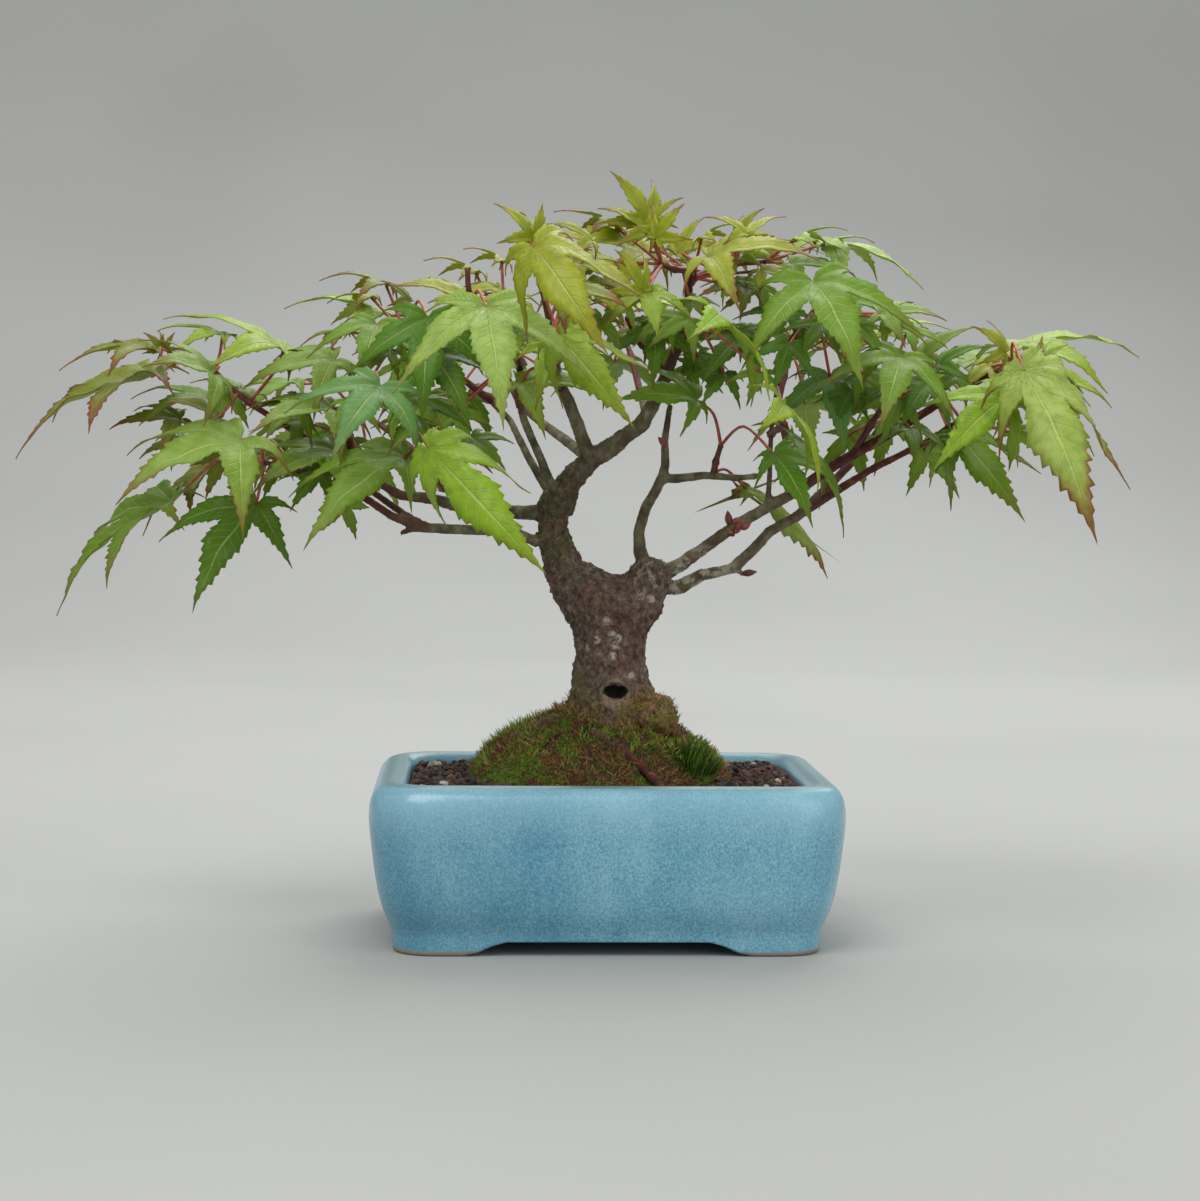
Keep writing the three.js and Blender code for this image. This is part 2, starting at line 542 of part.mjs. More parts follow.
function knotLip() {
  const { at, half, lip } = knotHole;
  const geometry = new THREE.TorusGeometry(half[0] + lip * 0.3, lip, 4, 10);
  geometry.scale(1, (half[2] + lip * 0.5) / half[0], 1.6);
  geometry.rotateX(Math.PI / 2);
  geometry.translate(at[0], at[1] + 0.9, at[2]);
  return solidOf(geometry);
}

function treeTop(grow) {
  const thick = limbs.map((stations) => limb(stations, { sides: 9, perSpan: 1, grow }));
  const thin = Object.values(branches).map((stations) => limb(stations, { sides: 5, perSpan: 1, grow }));
  const swells = burrs.slice(1).map(([centre, half]) => lump(centre, half, half[0] > 4 ? 1 : 0, grow));
  return joined([...thick, ...thin, ...swells]);
}

function treeSolid() {
  const hollow = lump(knotHole.at, knotHole.half);
  return largestOf(joined([rootStock(0), treeTop(0), knotLip()]).subtract(hollow));
}

// ---- Leaves ------------------------------------------------------------------------------

function bladeFrame(leaf) {
  const along = leaf.tip.clone().sub(leaf.hub);
  const length = along.length();
  along.normalize();
  const up = vector(facings[leaf.facing]);
  up.addScaledVector(along, -up.dot(along)).normalize();
  return { along, up, side: new THREE.Vector3().crossVectors(along, up), length };
}

function bladeHeight(reach, lobe, angle) {
  const t = reach / lobe;
  return lobe * (archRise * 4 * t * (1 - t) - cupDrop * t * t * Math.sin(angle) ** 2);
}

// the blade's outline from one basal notch round to the other: a cut, then a lobe's belly, tip and belly
function bladeOutline(length, [leftKept, rightKept]) {
  const [middle, ...half] = length < smallLeaf ? fiveLobes : sevenLobes;
  const lobes = [
    ...half.map(([angle, share]) => [-angle, share * leftKept]).reverse(),
    middle,
    ...half.map(([angle, share]) => [angle, share * rightKept]),
  ];
  const [place, width] = lobeBelly;
  const swing = Math.atan(width / place);
  const outline = [];
  lobes.forEach(([degrees, share], i) => {
    const angle = radians(degrees);
    const lobe = length * share;
    const belly = lobe * Math.hypot(place, width);
    if (i > 0) {
      const [beforeDegrees, beforeShare] = lobes[i - 1];
      const cut = lobeWaist * length * Math.min(1, Math.min(share, beforeShare) + 0.25);
      const between = radians((degrees + beforeDegrees) / 2);
      outline.push([between, cut, bladeHeight(cut, lobe, between)]);
    }
    const rounded = length > tinyLeaf;
    const sides = rounded ? [-swing, swing] : [];
    const [left, right] = sides.map((side) => [angle + side, belly, bladeHeight(belly, lobe, angle)]);
    outline.push(...[left, [angle, lobe, bladeHeight(lobe, lobe, angle)], right].filter(Boolean));
  });
  return outline;
}

// the petiole's square sections, from the blade's notch back into the shoot
function stalkRings(leaf, frame, root, grow) {
  const half = petioleHalf + grow;
  const bend = leaf.hub.clone().lerp(root, 0.45);
  bend.z += root.distanceTo(leaf.hub) * petioleBow;
  bend.addScaledVector(frame.along, -root.distanceTo(leaf.hub) * petioleBow);
  const path = frame.length < tinyLeaf ? [leaf.hub, root] : [leaf.hub, bend, root];
  let across = frame.side.clone();
  return path.slice(1).map((centre, i) => {
    const ahead = (path[i + 2] ?? centre).clone().sub(path[i]).normalize();
    across = across.addScaledVector(ahead, -across.dot(ahead)).normalize();
    const over = new THREE.Vector3().crossVectors(ahead, across);
    return [[1, 1], [-1, 1], [-1, -1], [1, -1]].map(([right, top]) => centre.clone()
      .addScaledVector(across, right * half)
      .addScaledVector(over, top * half));
  });
}

// blade and petiole as one body, its two faces split into triangles alike
function leafSolid(leaf, root, grow = 0) {
  const frame = bladeFrame(leaf);
  const heart = frame.length * bladeHeart;
  const notch = petioleHalf + grow;
  const flat = [
    [0, heart, bladeHeight(heart, frame.length, 0)],
    [-Math.PI / 2, notch, 0],
    ...bladeOutline(frame.length, leaf.sides),
    [Math.PI / 2, notch, 0],
  ];
  const points = [];
  [1, -1].forEach((face) => flat.forEach(([angle, reach, height]) => {
    const across = Math.sin(angle) * reach;
    const fold = radians(leaf.hang) * Math.min(1, Math.abs(across) / (frame.length * hangStart));
    const half = (bladeThickness / 2 + grow) / Math.cos(fold);
    points.push(leaf.hub.clone()
      .addScaledVector(frame.along, Math.cos(angle) * reach)
      .addScaledVector(frame.side, across * Math.cos(fold))
      .addScaledVector(frame.up, height - Math.abs(across) * Math.sin(fold) + face * half));
  }));
  const count = flat.length;
  const last = count - 1;
  const index = [];
  const face = (a, b, c) => index.push(a, c, b, count + a, count + b, count + c);
  face(0, last, 1);
  for (let i = 1; i < last; i += 1) {
    face(0, i, i + 1);
    index.push(i, i + 1, count + i + 1, i, count + i + 1, count + i);
  }
  let ring = [last, 1, count + 1, count + last];
  stalkRings(leaf, frame, root, grow).forEach((corners) => {
    const next = corners.map((corner) => points.push(corner) - 1);
    for (let j = 0; j < 4; j += 1) {
      const k = (j + 1) % 4;
      index.push(ring[j], ring[k], next[k], ring[j], next[k], next[j]);
    }
    ring = next;
  });
  index.push(ring[0], ring[1], ring[2], ring[0], ring[2], ring[3]);
  const geometry = new THREE.BufferGeometry().setFromPoints(points);
  geometry.setIndex(index);
  return solidOf(geometry);
}

// ---- Placing the sprays ------------------------------------------------------------------

// a leaf that would cross another piece slides along the line of sight, or a little up or down
function slides() {
  const found = [];
  for (let back = -slideSteps[0]; back <= slideSteps[0]; back += 1) {
    for (let rise = -slideSteps[1]; rise <= slideSteps[1]; rise += 1) {
      found.push(new THREE.Vector3(0, back * slideBack, rise * slideRise));
    }
  }
  const offset = (slide) => Math.abs(slide.y) + 2.2 * Math.abs(slide.z);
  const tie = (slide) => 0.01 * (slide.y > 0) + 0.02 * (slide.z > 0);
  const cost = (slide) => offset(slide) + tie(slide);
  return found.sort((a, b) => cost(a) - cost(b));
}

const boxesMeet = (a, b) => [0, 1, 2].every((axis) => a.min[axis] < b.max[axis] && b.min[axis] < a.max[axis]);

function taken(solid, owner) {
  return { solid, owner, box: solid.boundingBox() };
}

function overlap(test, others) {
  const box = test.boundingBox();
  return others.filter((other) => boxesMeet(box, other.box))
    .reduce((sum, other) => sum + test.intersect(other.solid).volume(), 0);
}

function nearest(points, place) {
  return points.reduce((best, point) => (point.distanceTo(place) < best.distanceTo(place) ? point : best));
}

function shootStations(path) {
  const last = path.length - 1;
  return path.map((place, i) => [...place, THREE.MathUtils.lerp(...shootRadius, i / last)]);
}

// the least crowded slide for a leaf: crossing another node counts most, crossing its own spray a little
function settle(leaf, root, settled) {
  const strangers = settled.filter((other) => other.owner !== leaf.name);
  const family = settled.filter((other) => other.owner === leaf.name && other.leaf);
  let best = null;
  slides().some((slide) => {
    const moved = { ...leaf, hub: leaf.hub.clone().add(slide), tip: leaf.tip.clone().add(slide) };
    const test = leafSolid(moved, root, gap);
    const cost = overlap(test, strangers) * strangerWeight + overlap(test, family);
    if (best === null || cost < best.cost) {
      best = { cost, moved };
    }
    return cost === 0;
  });
  return best.moved;
}

function placeSprays(fixedSolids, treeGrown) {
  const settled = fixedSolids.map((solid) => taken(solid, 'fixed'));
  const parts = {};
  const leaves = [];
  Object.entries(sprays).forEach(([name, [path, list]]) => {
    const stations = shootStations(path);
    const grown = limb(stations, { sides: 4, perSpan: 1, grow: gap });
    parts[name] = [limb(stations, { sides: 4, perSpan: 1 })];
    settled.push(taken(grown.subtract(treeGrown), name));
    const nodes = path.slice(1).map(vector);
    list.forEach(([hub, tip, facing, hang = usualHang, sides = [1, 1]]) => {
      leaves.push({ name, nodes, facing, hang, sides, hub: vector(hub), tip: vector(tip) });
    });
  });
  leaves.sort((a, b) => a.tip.y - b.tip.y).forEach((leaf) => {
    const root = nearest(leaf.nodes, leaf.hub);
    const solid = leafSolid(settle(leaf, root, settled), root);
    parts[leaf.name].push(solid);
    settled.push({ ...taken(solid, leaf.name), leaf: true });
  });
  return parts;
}

// ---- Assembly ----------------------------------------------------------------------------

const paints = {
  glaze: { color: 0x6fa6b8, roughness: 0.18 },
  soil: { color: 0x4a2f24, roughness: 0.95 },
  mesh: { color: 0x2a2c2e, roughness: 0.7 },
  moss: { color: 0x4f5a22, roughness: 1 },
  bark: { color: 0x5c5048, roughness: 0.9 },
  leaf: { color: 0x8fb23a, roughness: 0.55 },
};
const group = new THREE.Group();

function place(name, solid, paint) {
  const smooth = solid.simplify(paint === 'leaf' ? leafSeam : bodySeam);
  const clean = largestOf(solidOf(geometryOf(smooth), finestWeld));
  const mesh = new THREE.Mesh(geometryOf(clean), new THREE.MeshStandardMaterial(paints[paint]));
  mesh.name = name;
  group.add(mesh);
}

const pot = potSolid();
const rootsGrown = rootStock(gap);
const mound = moundSolid(rootsGrown);
const soil = soilSolid(rootsGrown);
const tree = treeSolid();
const treeGrown = joined([rootStock(gap), treeTop(gap)]);

place('pot', pot, 'glaze');
place('drain_mesh_left', drainMesh(-drainOffset), 'mesh');
place('drain_mesh_right', drainMesh(drainOffset), 'mesh');
place('soil', soil, 'soil');
place('moss_mound', mound, 'moss');
place('tree', tree, 'bark');
Object.entries(placeSprays([pot, mound, soil, tree], treeGrown)).forEach(([name, solids]) => {
  place(`spray_${name}`, largestOf(joined(solids).subtract(treeGrown)), 'leaf');
});

// the origin is under the middle of the whole thing, on the surface it stands on
const box = new THREE.Box3().setFromObject(group);
const middle = box.getCenter(new THREE.Vector3());
group.position.set(-middle.x, -middle.y, -box.min.z);
group.updateMatrixWorld(true);

export default group;
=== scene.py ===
import math
import random

import bmesh
import bpy
from mathutils import Matrix, Vector, noise
from mathutils.bvhtree import BVHTree
from mathutils.kdtree import KDTree


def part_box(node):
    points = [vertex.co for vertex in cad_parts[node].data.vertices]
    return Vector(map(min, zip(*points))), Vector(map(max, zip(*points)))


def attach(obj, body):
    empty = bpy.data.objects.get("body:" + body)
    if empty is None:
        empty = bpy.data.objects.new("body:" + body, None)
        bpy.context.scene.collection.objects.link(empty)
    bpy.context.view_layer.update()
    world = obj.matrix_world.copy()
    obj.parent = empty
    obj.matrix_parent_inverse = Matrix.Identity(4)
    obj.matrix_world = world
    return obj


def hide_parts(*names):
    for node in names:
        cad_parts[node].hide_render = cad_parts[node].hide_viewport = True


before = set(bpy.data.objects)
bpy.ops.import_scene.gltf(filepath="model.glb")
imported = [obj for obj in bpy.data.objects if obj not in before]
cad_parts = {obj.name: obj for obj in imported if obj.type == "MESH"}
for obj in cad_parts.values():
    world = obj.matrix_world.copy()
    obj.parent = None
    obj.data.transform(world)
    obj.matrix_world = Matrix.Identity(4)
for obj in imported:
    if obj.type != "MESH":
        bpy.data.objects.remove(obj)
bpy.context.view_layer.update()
scene = bpy.context.scene

mm = 0.001
potLow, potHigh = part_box("pot")
potMiddle = Vector(((potLow.x + potHigh.x) / 2, (potLow.y + potHigh.y) / 2, potLow.z))
potFrame = Matrix.Translation(potMiddle) @ Matrix.Scale(mm, 4)   # millimetres from the pot's foot


# shader values: sums and products of sockets read as plain expressions

class Value:
    def __init__(self, paint, socket):
        self.paint, self.socket = paint, socket

    def math(self, operation, *values):
        return self.paint.node("Math", {"operation": operation}, dict(enumerate(values)))

    def __add__(self, other):
        return self.math("ADD", self, other)

    def __sub__(self, other):
        return self.math("SUBTRACT", self, other)

    def __rsub__(self, other):
        return self.math("SUBTRACT", other, self)

    def __mul__(self, other):
        return self.math("MULTIPLY", self, other)

    __radd__ = __add__
    __rmul__ = __mul__

    def fract(self):
        return self.math("FRACT", self)

    def absolute(self):
        return self.math("ABSOLUTE", self)

    def step(self, low, high):              # 0 below low, 1 above high, eased between
        settings = {"interpolation_type": "SMOOTHSTEP"}
        return self.paint.node("MapRange", settings, {"Value": self, "From Min": low, "From Max": high})


class Paint:
    def __init__(self, name, fixed):
        self.material = bpy.data.materials.new(name)
        self.material.use_nodes = True
        self.tree = self.material.node_tree
        self.shader = self.tree.nodes["Principled BSDF"]
        self.place = self.node("TexCoord", {}, {}, "Object")
        for socket, value in fixed.items():
            self.shader.inputs[socket].default_value = value

    def node(self, kind, settings, inputs, output=0):
        item = self.tree.nodes.new("ShaderNode" + kind)
        for key, setting in settings.items():
            if key == "stops":
                self.setStops(item.color_ramp, setting)
            else:
                setattr(item, key, setting)
        for key, value in inputs.items():
            if isinstance(value, Value):
                self.tree.links.new(value.socket, item.inputs[key])
            else:
                item.inputs[key].default_value = colour(value) if isinstance(value, str) else value
        return Value(self, item.outputs[output])

    def setStops(self, ramp, stops):
        while len(ramp.elements) < len(stops):
            ramp.elements.new(1)
        for element, (position, code) in zip(ramp.elements, stops):
            element.position, element.color = position, colour(code)

    def ramp(self, value, *stops):
        return self.node("ValToRGB", {"stops": stops}, {"Fac": value}, "Color")

    def mix(self, first, second, share):
        return self.node("Mix", {"data_type": "RGBA"}, {0: share, 6: first, 7: second}, 2)

    def grain(self, scale, detail=3, roughness=0.55, at=None):
        inputs = {"Vector": at or self.place, "Scale": scale, "Detail": detail, "Roughness": roughness}
        return self.node("TexNoise", {}, inputs, 0)

    def cells(self, scale, output="Distance"):
        return self.node("TexVoronoi", {}, {"Vector": self.place, "Scale": scale}, output)

    def stretched(self, upward):            # below 1 draws a grain out up and down
        return self.node("Mapping", {}, {"Vector": self.place, "Scale": (1, 1, upward)})

    def axis(self, name):
        return self.node("SeparateXYZ", {}, {0: self.place}, name)

    def near(self, at, reach, fade):        # 1 within reach of a place, 0 past the fade, in millimetres
        inputs = {0: self.place, 1: potFrame @ Vector(at)}
        gap = self.node("VectorMath", {"operation": "DISTANCE"}, inputs, "Value")
        return 1 - gap.step(reach * mm, fade * mm)

    def attribute(self, name, output="Fac"):
        return self.node("Attribute", {"attribute_name": name}, {}, output)

    def bump(self, height, depth):          # depth in metres
        return self.node("Bump", {}, {"Height": height, "Distance": depth}, "Normal")

    def feed(self, **values):
        sockets = {"colour": "Base Color", "roughness": "Roughness", "normal": "Normal"}
        for key, value in values.items():
            self.tree.links.new(value.socket, self.shader.inputs[sockets[key]])
        return self


def colour(code):                           # a colour as a screen shows it, in the linear light of a shader
    channels = [int(code[i:i + 2], 16) / 255 for i in (0, 2, 4)]
    return (*[c / 12.92 if c < 0.04045 else ((c + 0.055) / 1.055) ** 2.4 for c in channels], 1)


# mesh helpers

def finishPiece(name, bm, paints, replaced=()):
    mesh = bpy.data.meshes.new(name)
    bm.to_mesh(mesh)
    bm.free()
    for paint in paints:
        mesh.materials.append(paint.material)
    mesh.polygons.foreach_set("use_smooth", [True] * len(mesh.polygons))
    piece = bpy.data.objects.new(name, mesh)
    scene.collection.objects.link(piece)
    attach(piece, "root")
    if replaced:
        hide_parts(*replaced)
    print("made", name, len(mesh.polygons), "faces")
    return piece


def spline(points, steps):                  # a smooth run through every point, of any number of measures
    rows = []
    last = len(points) - 1
    for i in range(last):
        before, start, end, after = (points[max(0, min(last, i + k))] for k in (-1, 0, 1, 2))
        for j in range(steps):
            t = j / steps
            rows.append([b + 0.5 * t * (c - a + t * (2 * a - 5 * b + 4 * c - d + t * (3 * (b - c) + d - a)))
                         for a, b, c, d in zip(before, start, end, after)])
    return rows + [list(points[-1])]


def addTube(bm, stations, sides=6):         # one circle drawn along x, y, z, radius stations
    places = [Vector(station[:3]) for station in stations]
    across = Vector((0.3, 0.1, 1))
    frames = []
    for i, place in enumerate(places):
        ahead = (places[min(i + 1, len(places) - 1)] - places[max(i - 1, 0)]).normalized()
        across = (across - ahead * across.dot(ahead)).normalized()
        turn = Matrix((across, ahead.cross(across), ahead)).transposed().to_4x4()
        frames.append(Matrix.Translation(place) @ turn @ Matrix.Scale(stations[i][3], 4))
    ring = bmesh.ops.create_circle(bm, cap_ends=True, segments=sides, radius=1, matrix=frames[0])["verts"]
    faces = set(ring[0].link_faces)
    edges = list({edge for vert in ring for edge in vert.link_edges})
    for before, after in zip(frames, frames[1:]):
        grown = bmesh.ops.extrude_edge_only(bm, edges=edges)["geom"]
        verts = [item for item in grown if isinstance(item, bmesh.types.BMVert)]
        bmesh.ops.transform(bm, matrix=after @ before.inverted(), verts=verts)
        edges = [edge for vert in verts for edge in vert.link_edges if all(v in verts for v in edge.verts)]
        edges = list(set(edges))
        faces.update(face for vert in verts for face in vert.link_faces)
    faces.update(bmesh.ops.contextual_create(bm, geom=edges)["faces"])
    bmesh.ops.recalc_face_normals(bm, faces=list(faces))
    return faces


def remeshed(name, voxel, smoothing):       # a node's form in small even faces, with its edges softened
    bm = bmesh.new()
    bm.from_mesh(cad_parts[name].data)
    bmesh.ops.remove_doubles(bm, verts=bm.verts, dist=0.00001)
    mesh = bpy.data.meshes.new(name + "_form")
    bm.to_mesh(mesh)
    bm.free()
    form = bpy.data.objects.new(name + "_form", mesh)
    scene.collection.objects.link(form)
    remesh = form.modifiers.new("even", "REMESH")
    remesh.mode, remesh.voxel_size = "VOXEL", voxel
    bpy.context.view_layer.update()
    bm = bmesh.new()
    bm.from_object(form, bpy.context.evaluated_depsgraph_get())
    bpy.data.objects.remove(form)
    for _ in range(smoothing):
        bmesh.ops.smooth_vert(bm, verts=bm.verts, factor=0.5,
                              use_axis_x=True, use_axis_y=True, use_axis_z=True)
    bmesh.ops.recalc_face_normals(bm, faces=bm.faces)
    bm.normal_update()
    return bm


# the pot

pot = {
    "length": 110, "depth": 85.2, "corner": 13.9, "cornerShrink": 0.8, "cornerSteps": 8, "sideCuts": 23,
    "footHeight": 3.2, "footTop": 5.1, "archFront": (23, 33), "archSide": (15, 24),
    "drainRadius": 6, "drainOffset": 22, "drainSides": 32, "floor": 7.4, "smoothing": 3,
    "foot": [(13, 3.2), (13, 0.5), (12.5, 0)],      # the feet's inner side: inset from the belly, and height
    "wall": [                                       # from the feet over the lip to the inner floor
        (6.3, 0), (5.8, 0.35), (5.55, 1.1), (5.2, 5.1), (4.3, 7.3), (2.8, 11), (1.4, 17.8), (0.2, 27.5),
        (0, 32), (0.4, 35.1), (1.5, 37.3), (3, 38.6), (5.1, 39.2), (6.7, 38.8), (8, 37.7), (8.7, 35.6),
        (9, 28), (10.2, 14), (12.5, 8.6), (16, 7.4),
    ],
}


def archLevel(x, y):                        # how high the wall's lower edge stands between the feet
    def lift(place, span):
        t = max(0, min(1, (span[1] - abs(place)) / (span[1] - span[0])))
        return pot["footHeight"] * t * t * (3 - 2 * t)
    return max(lift(x, pot["archFront"]), lift(y, pot["archSide"]))


def planSizes(inset):                       # the straight half-sides, and the corner's radius
    radius = max(pot["corner"] - pot["cornerShrink"] * inset, 1.5)
    return pot["length"] / 2 - inset - radius, pot["depth"] / 2 - inset - radius, radius


def onPlan(place, old, new, straight):      # one coordinate, moved from one rounded outline to the next
    if abs(place) <= old[straight]:
        return place * new[straight] / old[straight]
    past = (abs(place) - old[straight]) / old[2] * new[2]
    return math.copysign(new[straight] + past, place)


def circleEdges(bm, x, height):
    matrix = Matrix.Translation((x, 0, height))
    ring = bmesh.ops.create_circle(bm, segments=pot["drainSides"], radius=pot["drainRadius"], matrix=matrix)
    return list({edge for vert in ring["verts"] for edge in vert.link_edges})


def makePot(paint):
    bm = bmesh.new()
    rows = [(*row, True) for row in pot["foot"]]
    rows += [(*row, False) for row in spline(pot["wall"], pot["smoothing"])]
    sizes = planSizes(rows[0][0])
    halfLength, halfDepth = sizes[0] + sizes[2], sizes[1] + sizes[2]
    corners = [bm.verts.new((sx * halfLength, sy * halfDepth, 0))
               for sx, sy in ((1, 1), (-1, 1), (-1, -1), (1, -1))]
    bm.faces.new(corners)
    bmesh.ops.bevel(bm, geom=corners, offset=sizes[2], affect="VERTICES", segments=pot["cornerSteps"],
                    profile=0.5, material=-1)
    longEdges = [edge for edge in bm.edges if edge.calc_length() > sizes[2]]
    bmesh.ops.subdivide_edges(bm, edges=longEdges, cuts=pot["sideCuts"])
    bmesh.ops.delete(bm, geom=list(bm.faces), context="FACES_ONLY")
    first = edges = list(bm.edges)
    for row, (inset, height, isFoot) in enumerate(rows):
        verts = {vert for edge in edges for vert in edge.verts}
        if row:
            grown = bmesh.ops.extrude_edge_only(bm, edges=edges)["geom"]
            verts = {item for item in grown if isinstance(item, bmesh.types.BMVert)}
            edges = [item for item in grown
                     if isinstance(item, bmesh.types.BMEdge) and verts.issuperset(item.verts)]
        outline = planSizes(inset)
        top = pot["footHeight"] if isFoot else pot["footTop"]
        for vert in verts:
            x, y = onPlan(vert.co.x, sizes, outline, 0), onPlan(vert.co.y, sizes, outline, 1)
            level = archLevel(x, y)
            vert.co = (x, y, height if height > top else level + height * (top - level) / top)
        sizes = outline
    for wallEdges, height in ((first, pot["footHeight"]), (edges, pot["floor"])):
        holes = [circleEdges(bm, x, height) for x in (-pot["drainOffset"], pot["drainOffset"])]
        bmesh.ops.triangle_fill(bm, use_beauty=True, edges=wallEdges + holes[0] + holes[1])
    rims = [edge for edge in bm.edges if edge.is_boundary]
    for side in (-1, 1):
        bmesh.ops.bridge_loops(bm, edges=[edge for edge in rims if edge.verts[0].co.x * side > 0])
    bmesh.ops.remove_doubles(bm, verts=bm.verts, dist=0.01)
    bmesh.ops.dissolve_degenerate(bm, dist=0.001, edges=bm.edges)
    bmesh.ops.recalc_face_normals(bm, faces=bm.faces)
    bmesh.ops.transform(bm, matrix=potFrame, verts=bm.verts)
    return finishPiece("glazed_pot", bm, [paint], ["pot"])


def glazePaint():
    paint = Paint("speckled_glaze", {"IOR": 1.45, "Coat Weight": 0.2, "Coat Roughness": 0.12})
    height = paint.axis("Z")
    mottle = paint.grain(2100, 4, 0.7, paint.stretched(0.8))
    runs = paint.grain(90, 3, 0.6, paint.stretched(0.3))
    clouds = paint.grain(38, 2)
    depth = mottle * 0.62 + runs * 0.22 + clouds * 0.2
    body = paint.ramp(depth.step(0.38, 0.68), (0, "4a88a3"), (0.35, "64a0b8"),
                      (0.65, "78afc2"), (1, "93c0cd"))
    pin = paint.cells(520).step(0.07, 0.03)
    body = paint.mix(body, "36657f", pin * 0.35)
    # painted shade: the glaze darker on the left side, where less light falls
    shade = 1 - paint.axis("X").step(-0.05, 0.015)
    body = paint.mix(body, "41718a", shade * 0.34)
    thin = height.step(0.025, 0.0355) * 0.42 + paint.axis("X").step(0.02, 0.06) * 0.14
    body = paint.mix(body, "92bccb", thin)          # painted light, held in the mask 'thin': paler high up and to the right, where more light falls
    crest = height.step(0.038, 0.0391)                      # thin grey-green glaze over the lip
    body = paint.mix(body, "557b7d", crest * (clouds * 0.4 + 0.62))
    foot = 1 - (height + clouds * 0.0012).step(0.0012, 0.0024)
    body = paint.mix(body, "8a8378", foot)
    rough = foot * 0.5 + mottle * 0.08 + crest * 0.25 + 0.2
    relief = mottle * 0.2 + paint.grain(220, 2)
    return paint.feed(colour=body, roughness=rough, normal=paint.bump(relief, 0.0001))


makePot(glazePaint())


# the drain meshes and the soil

def meshPaint():
    paint = Paint("moulded_mesh", {})
    shade = paint.ramp(paint.grain(900), (0.3, "202325"), (0.7, "34383a"))
    return paint.feed(colour=shade, roughness=paint.grain(400) * 0.3 + 0.45)


soil = {"top": 36.6, "count": 1500, "sizes": (0.7, 1.7), "halfLength": 44.6, "halfDepth": 31.8, "corner": 6,
        "moundMiddle": (-1, -1), "moundHalf": (31, 27), "clear": 0.99,
        "pumice": [(-5.5, -31), (28.5, -31.2), (33.5, -30.5), (37, -24), (-31, -29.5), (18, -31),
                   (41, -12), (-40, 20), (-12, 31), (25, 30), (39, 25), (-38, -20)],
        "tones": ["2c1f1a", "3a2620", "4b2f26", "5b3a2e", "6d4636", "33302d", "4a4540", "7a5a48"]}


def grainPaint(name, attribute):
    paint = Paint(name, {"Specular IOR Level": 0.35})
    fine = paint.grain(5200, 3, 0.7)
    tint = paint.mix(paint.attribute(attribute, "Color"), "1a1411", fine.step(0.62, 0.4) * 0.7)
    return paint.feed(colour=tint, roughness=fine * 0.3 + 0.6, normal=paint.bump(fine, 0.00012))


def soilPaint():
    paint = Paint("damp_soil", {"Specular IOR Level": 0.3})
    lumps = paint.cells(900)
    tint = paint.ramp(paint.cells(900, "Color"), (0.1, "1d1512"), (0.5, "3a2620"),
                      (0.8, "513428"), (1, "6b5f55"))
    shadow = paint.mix(tint, "0d0a08", lumps.step(0.35, 0.7))
    return paint.feed(colour=shadow, roughness=lumps * 0.2 + 0.75, normal=paint.bump(1 - lumps, 0.0006))


def addGrain(bm, place, radius, squash, draw):
    angle = draw.uniform(0, 6.28)
    turn = Matrix.Rotation(angle, 4, Vector((draw.gauss(0, 1), draw.gauss(0, 1), 1)).normalized())
    matrix = Matrix.Translation(place) @ turn @ Matrix.Diagonal((radius, radius * squash, radius * 0.8, 1))
    verts = bmesh.ops.create_icosphere(bm, subdivisions=1, radius=1, matrix=matrix)["verts"]
    for vert in verts:
        vert.co += (vert.co - place) * draw.uniform(-0.22, 0.12)
    return verts


def moundShare(x, y):                       # 0 in the middle of the mound, 1 at its foot
    middle, half = soil["moundMiddle"], soil["moundHalf"]
    return math.hypot((x - middle[0]) / half[0], (y - middle[1]) / half[1])


def makeGrains(paint):
    draw = random.Random(5)
    bm = bmesh.new()
    tone = bm.verts.layers.float_color.new("tone")
    spots = []
    for x, y in soil["pumice"]:
        for vert in addGrain(bm, Vector((x, y, soil["top"] + 0.8)), draw.uniform(1, 1.35), 0.85, draw):
            vert[tone] = colour("d8d2c0")
        spots.append((x, y))
    while len(spots) < soil["count"]:
        x, y = draw.uniform(-1, 1) * soil["halfLength"], draw.uniform(-1, 1) * soil["halfDepth"]
        past = Vector((max(0, abs(x) - soil["halfLength"] + soil["corner"]),
                       max(0, abs(y) - soil["halfDepth"] + soil["corner"])))
        if moundShare(x, y) < soil["clear"] or past.length > soil["corner"]:
            continue
        radius = draw.uniform(*soil["sizes"])
        place = Vector((x, y, soil["top"] + draw.uniform(-0.7, 0.9) - radius * 0.2))
        verts = addGrain(bm, place, radius, draw.uniform(0.6, 1), draw)
        pick = colour(draw.choice(soil["tones"]) if draw.random() > 0.025 else "c9c2b0")
        for vert in verts:
            vert[tone] = pick
        spots.append((x, y))
    bmesh.ops.transform(bm, matrix=potFrame, verts=bm.verts)
    piece = finishPiece("soil_grains", bm, [paint])
    piece.data.polygons.foreach_set("use_smooth", [False] * len(piece.data.polygons))


for node, makePaint in (("drain_mesh_left", meshPaint), ("drain_mesh_right", meshPaint), ("soil", soilPaint)):
    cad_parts[node].data.materials.clear()
    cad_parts[node].data.materials.append(makePaint().material)
makeGrains(grainPaint("loose_grains", "tone"))


# the mound of moss and earth

